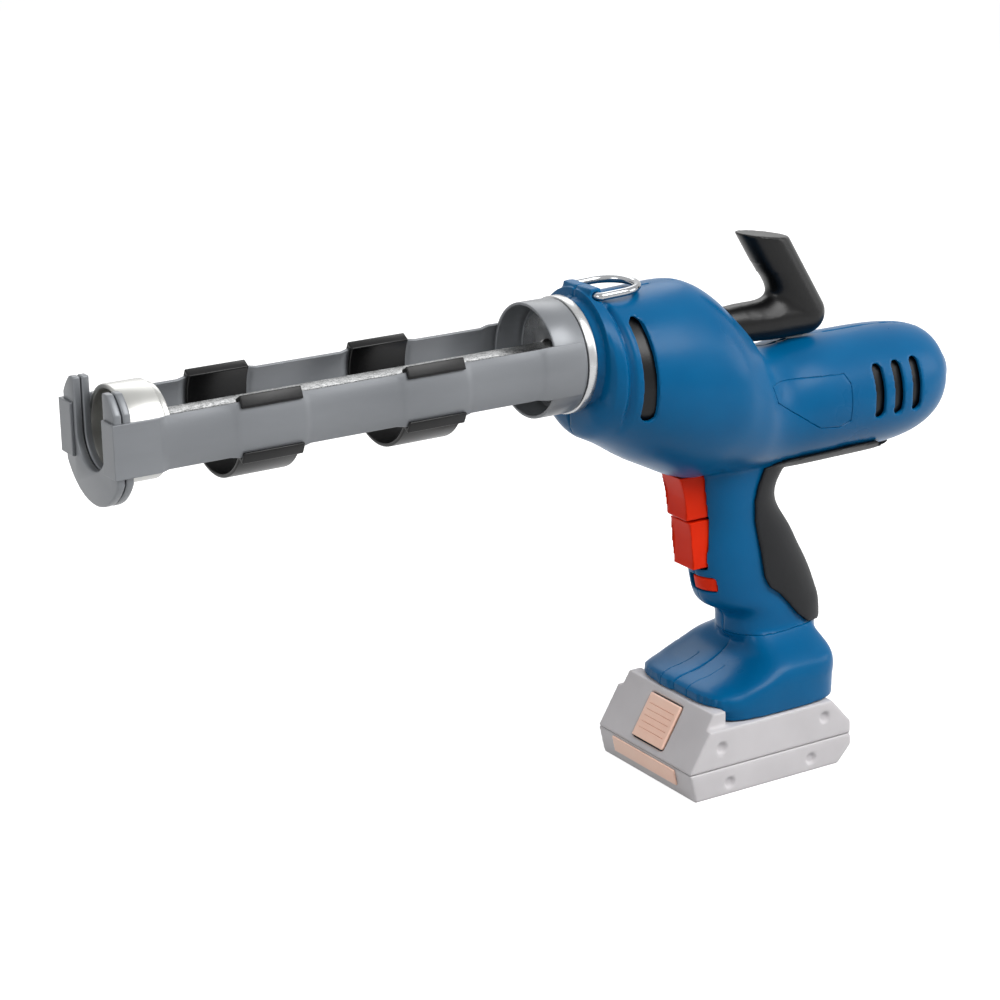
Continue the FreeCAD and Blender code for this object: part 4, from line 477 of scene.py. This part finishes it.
def make_holder():
    for node in ("rail_left", "rail_right"):
        piece(eased(copied(node), RAIL_EDGE), f"holder_{node}", node, RAIL_SHARP)
    piece(eased(copied("holder_ring"), PLAIN_EDGE), "holder_band", "holder_ring")
    for node in ("front_plate", "backing_plate"):
        piece(eased(copied(node), PLATE_EDGE, segments=3), f"stop_{node}", node)
    for node in ("saddle_front", "saddle_rear"):
        saddle = eased(copied(node), SADDLE_EDGE, SADDLE_TURN, segments=3)
        piece(saddle, f"cradle_{node}", node, SADDLE_SHARP)


def make_front_end():
    piece(eased(copied("nose_bush"), PLAIN_EDGE), "nose", "nose_bush")
    piece(eased(copied("retaining_nut"), PLAIN_EDGE), "lock_nut", "retaining_nut")


# Rod, piston and pull handle

TOOTH_EDGE, CUP_EDGE = 0.25 * MM, 0.8 * MM
HOOK_SKIN = (0.8 * MM, 8)
BEND_MIDDLE, BEND_SIDE = Vector((-26.0, 0, 232.2)) * MM, Vector((0.875, 0, 0.485))
BEND_FACING = 0.2
BEND_PASSES = ((14 * MM, 140), (20 * MM, 40))


def eased_bend(mesh):
    """The hook's inner corner drawn out to a smooth bend."""
    for reach, rounds in BEND_PASSES:
        mesh.normal_update()
        inner = [v for v in mesh.verts if v.normal.dot(BEND_SIDE) > BEND_FACING
                 and math.hypot(v.co.x - BEND_MIDDLE.x, v.co.z - BEND_MIDDLE.z) < reach]
        calmed(mesh, inner, rounds)
    return mesh


def make_rod():
    piece(eased(copied("rack_rod"), TOOTH_EDGE), "toothed_rod", "rack_rod")
    piece(eased(copied("piston_cup"), CUP_EDGE, segments=3), "piston", "piston_cup")
    piece(eased(copied("piston_back_plate"), PLAIN_EDGE), "piston_back", "piston_back_plate")
    hook = eased_bend(softened(copied("pull_handle"), *HOOK_SKIN))
    piece(hook, "pull_hook", "pull_handle", sharp=None)


# Triggers and lock

TRIGGER_SKIN, LOCK_SKIN = (0.5 * MM, 12), (0.35 * MM, 4)
SCOOP_DEPTH, SCOOP_FACING = 1.3 * MM, 0.4


def scooped(mesh):
    """The finger's hollow in a trigger's front face."""
    low, high = min(v.co.z for v in mesh.verts), max(v.co.z for v in mesh.verts)
    for v in mesh.verts:
        height = 2 * (v.co.z - low) / (high - low) - 1
        if v.normal.x > SCOOP_FACING:
            v.co.x -= SCOOP_DEPTH * (1 - height * height)
    return mesh


def make_controls():
    for node in ("trigger", "release_trigger"):
        finger = scooped(softened(copied(node), *TRIGGER_SKIN))
        piece(finger, f"finger_{node}", node, sharp=None)
    piece(softened(copied("lock_slider"), *LOCK_SKIN), "lock_button", "lock_slider", sharp=None)


# Battery pack

PACK_SKIN, BUTTON_SKIN, STRIP_SKIN = (0.8 * MM, 3, 10), (0.5 * MM, 4), (0.5 * MM, 3)
SLOPE_LEAN = math.radians(31.0)
SLOPE_UP = Vector((-math.sin(SLOPE_LEAN), 0, math.cos(SLOPE_LEAN)))
SLOPE_OUT = Vector((math.cos(SLOPE_LEAN), 0, math.sin(SLOPE_LEAN)))
SLOPE_MIDDLE = Vector((38.9, 0, 28.5)) * MM
RIB_PLACES = (-6.4, -3.2, 0.0, 3.2, 6.4)
RIB_HALF_LENGTH, RIB_UNDER, RIB_LINE = 10.2 * MM, -1 * MM, (0.5 * MM, 0.55 * MM)
BUTTON_SHARP = 40
BUTTON_EASE, BUTTON_TAPER, BUTTON_DEPTH = 0.025, 0.03, 2.2 * MM
RECESSES = ((28.4, 25.2), (-34.3, 26.6), (23.3, 6.0), (-26.3, 6.6))
RECESS_RADIUS, RECESS_DEPTH, RECESS_WALL = 3.1 * MM, 1.4 * MM, 0.3
PACK_LEAST_Y, PACK_FACING = 37 * MM, 0.8


def press_round(mesh):
    """Round recesses pressed into both side walls of the pack."""
    for v in mesh.verts:
        for x, z in RECESSES:
            far = math.hypot(v.co.x - x * MM, v.co.z - z * MM)
            on_wall = abs(v.normal.y) > PACK_FACING and abs(v.co.y) > PACK_LEAST_Y
            if far < RECESS_RADIUS and on_wall:
                full = min(1.0, (RECESS_RADIUS - far) / (RECESS_WALL * RECESS_RADIUS))
                v.co.y -= math.copysign(RECESS_DEPTH * full, v.co.y)
    return mesh


def drawn_in(mesh):
    """The button a little smaller than its window, and more so at the back, where it slides in."""
    for v in mesh.verts:
        place = v.co - SLOPE_MIDDLE
        less = BUTTON_EASE + BUTTON_TAPER * eased_step(-place.dot(SLOPE_OUT) / BUTTON_DEPTH)
        v.co -= (SLOPE_UP * place.dot(SLOPE_UP) + Vector((0, place.y, 0))) * less
    return mesh


def on_button_face(p):
    return abs(p.y) < RIB_HALF_LENGTH and (p - SLOPE_MIDDLE).dot(SLOPE_OUT) > RIB_UNDER


def make_battery():
    for part in ("base", "cover"):
        shell = press_round(softened(copied(f"battery_{part}"), *PACK_SKIN))
        piece(thinned(shell), f"pack_{part}", f"battery_{part}", sharp=None)
    button = drawn_in(softened(copied("battery_release"), *BUTTON_SKIN))
    for rise in RIB_PLACES:
        groove(button, SLOPE_MIDDLE + SLOPE_UP * rise * MM, SLOPE_UP, on_button_face, RIB_LINE)
    piece(button, "pack_button", "battery_release", BUTTON_SHARP)
    strip = softened(copied("battery_strip"), *STRIP_SKIN)
    piece(strip, "pack_strip", "battery_strip", sharp=None)


# The solids that stay as they are

def dress_solids():
    for name, obj in frame["nodes"].items():
        obj.data.materials.clear()
        obj.data.materials.append(FINISH[SLOT_OF[name]])


# Studio

CAMERA_AIM = Vector((0.122, 0.0, 0.130))
CAMERA_TURN, CAMERA_RISE, CAMERA_ROLL = 147.632, 19.128, -0.651
CAMERA_FAR = 1.2658
CAMERA_SENSOR, CAMERA_LENS = 36.0, 98.9
CAMERA_SHIFT = (-0.0113, 0.0558)
CAMERA_CLIP = (0.05, 50.0)
SKY_FILL, SKY_SEEN = 0.2, 1.0
PAPER_TONE, PAPER_GLOW, PAPER_SIZE = 0.5, 0.88, 8.0
# Name, place, width, height, power
LAMPS = (
    ("key", (-0.45, 1.0, 1.35), 0.9, 0.9, 24),
    ("front", (1.5, 0.5, 0.9), 0.7, 0.7, 7),
    ("back", (-0.4, -1.1, 1.2), 1.2, 0.8, 8),
    ("tail", (-1.3, 0.7, 0.6), 0.7, 0.7, 5),
)


def make_camera():
    turn, rise = math.radians(CAMERA_TURN), math.radians(CAMERA_RISE)
    flat = math.cos(rise)
    back = Vector((math.sin(turn) * flat, -math.cos(turn) * flat, math.sin(rise)))
    data = bpy.data.cameras.new("camera")
    data.sensor_width, data.lens = CAMERA_SENSOR, CAMERA_LENS
    data.shift_x, data.shift_y = CAMERA_SHIFT
    data.clip_start, data.clip_end = CAMERA_CLIP
    camera = bpy.data.objects.new("camera", data)
    scene.collection.objects.link(camera)
    camera.location = CAMERA_AIM + back * CAMERA_FAR
    facing = (-back).to_track_quat("-Z", "Y").to_matrix()
    roll = Matrix.Rotation(math.radians(CAMERA_ROLL), 3, "Z")
    camera.rotation_euler = (facing @ roll).to_euler()
    scene.camera = camera


def lamp(name, place, width, height, power):
    data = bpy.data.lights.new(name, "AREA")
    data.shape, data.size, data.size_y, data.energy = "RECTANGLE", width, height, power
    obj = bpy.data.objects.new(name, data)
    scene.collection.objects.link(obj)
    obj.location = Vector(place)
    obj.rotation_euler = (CAMERA_AIM - obj.location).to_track_quat("-Z", "Y").to_euler()


def seen_rays(tree):
    """1 for rays from the camera, a reflection or a see-through piece, else 0."""
    path = tree.nodes.new("ShaderNodeLightPath")
    value = path.outputs["Is Camera Ray"]
    for key in ("Is Glossy Ray", "Is Transmission Ray"):
        either = tree.nodes.new("ShaderNodeMath")
        either.operation = "MAXIMUM"
        link(tree, value, either.inputs[0])
        link(tree, path.outputs[key], either.inputs[1])
        value = either.outputs[0]
    return value


def make_sky():
    world = bpy.data.worlds.new("studio")
    scene.world = world
    world.use_nodes = True
    tree = world.node_tree
    sky = tree.nodes["Background"]
    sky.inputs["Color"].default_value = (1, 1, 1, 1)
    strength = spread(tree, seen_rays(tree), SKY_FILL, SKY_SEEN, 0, 1)
    link(tree, strength, sky.inputs["Strength"])


def make_floor():
    """A sheet of paper that takes shadows and looks white."""
    ground = bmesh.new()
    bmesh.ops.create_grid(ground, x_segments=1, y_segments=1, size=PAPER_SIZE)
    data = bpy.data.meshes.new("floor")
    ground.to_mesh(data)
    ground.free()
    floor = bpy.data.objects.new("floor", data)
    scene.collection.objects.link(floor)
    paper = bpy.data.materials.new("paper")
    paper.use_nodes = True
    tree = paper.node_tree
    tree.nodes.remove(tree.nodes["Principled BSDF"])
    matt = tree.nodes.new("ShaderNodeBsdfDiffuse")
    matt.inputs["Color"].default_value = (PAPER_TONE, PAPER_TONE, PAPER_TONE, 1)
    glow = tree.nodes.new("ShaderNodeEmission")
    link(tree, spread(tree, seen_rays(tree), 0, PAPER_GLOW, 0, 1), glow.inputs["Strength"])
    both = tree.nodes.new("ShaderNodeAddShader")
    link(tree, matt.outputs[0], both.inputs[0])
    link(tree, glow.outputs[0], both.inputs[1])
    link(tree, both.outputs[0], tree.nodes["Material Output"].inputs["Surface"])
    data.materials.append(paper)


def make_studio():
    make_sky()
    make_floor()
    for values in LAMPS:
        lamp(*values)


make_camera()
make_studio()
dress_solids()
make_casing()
make_holder()
make_rod()
make_front_end()
make_controls()
make_battery()
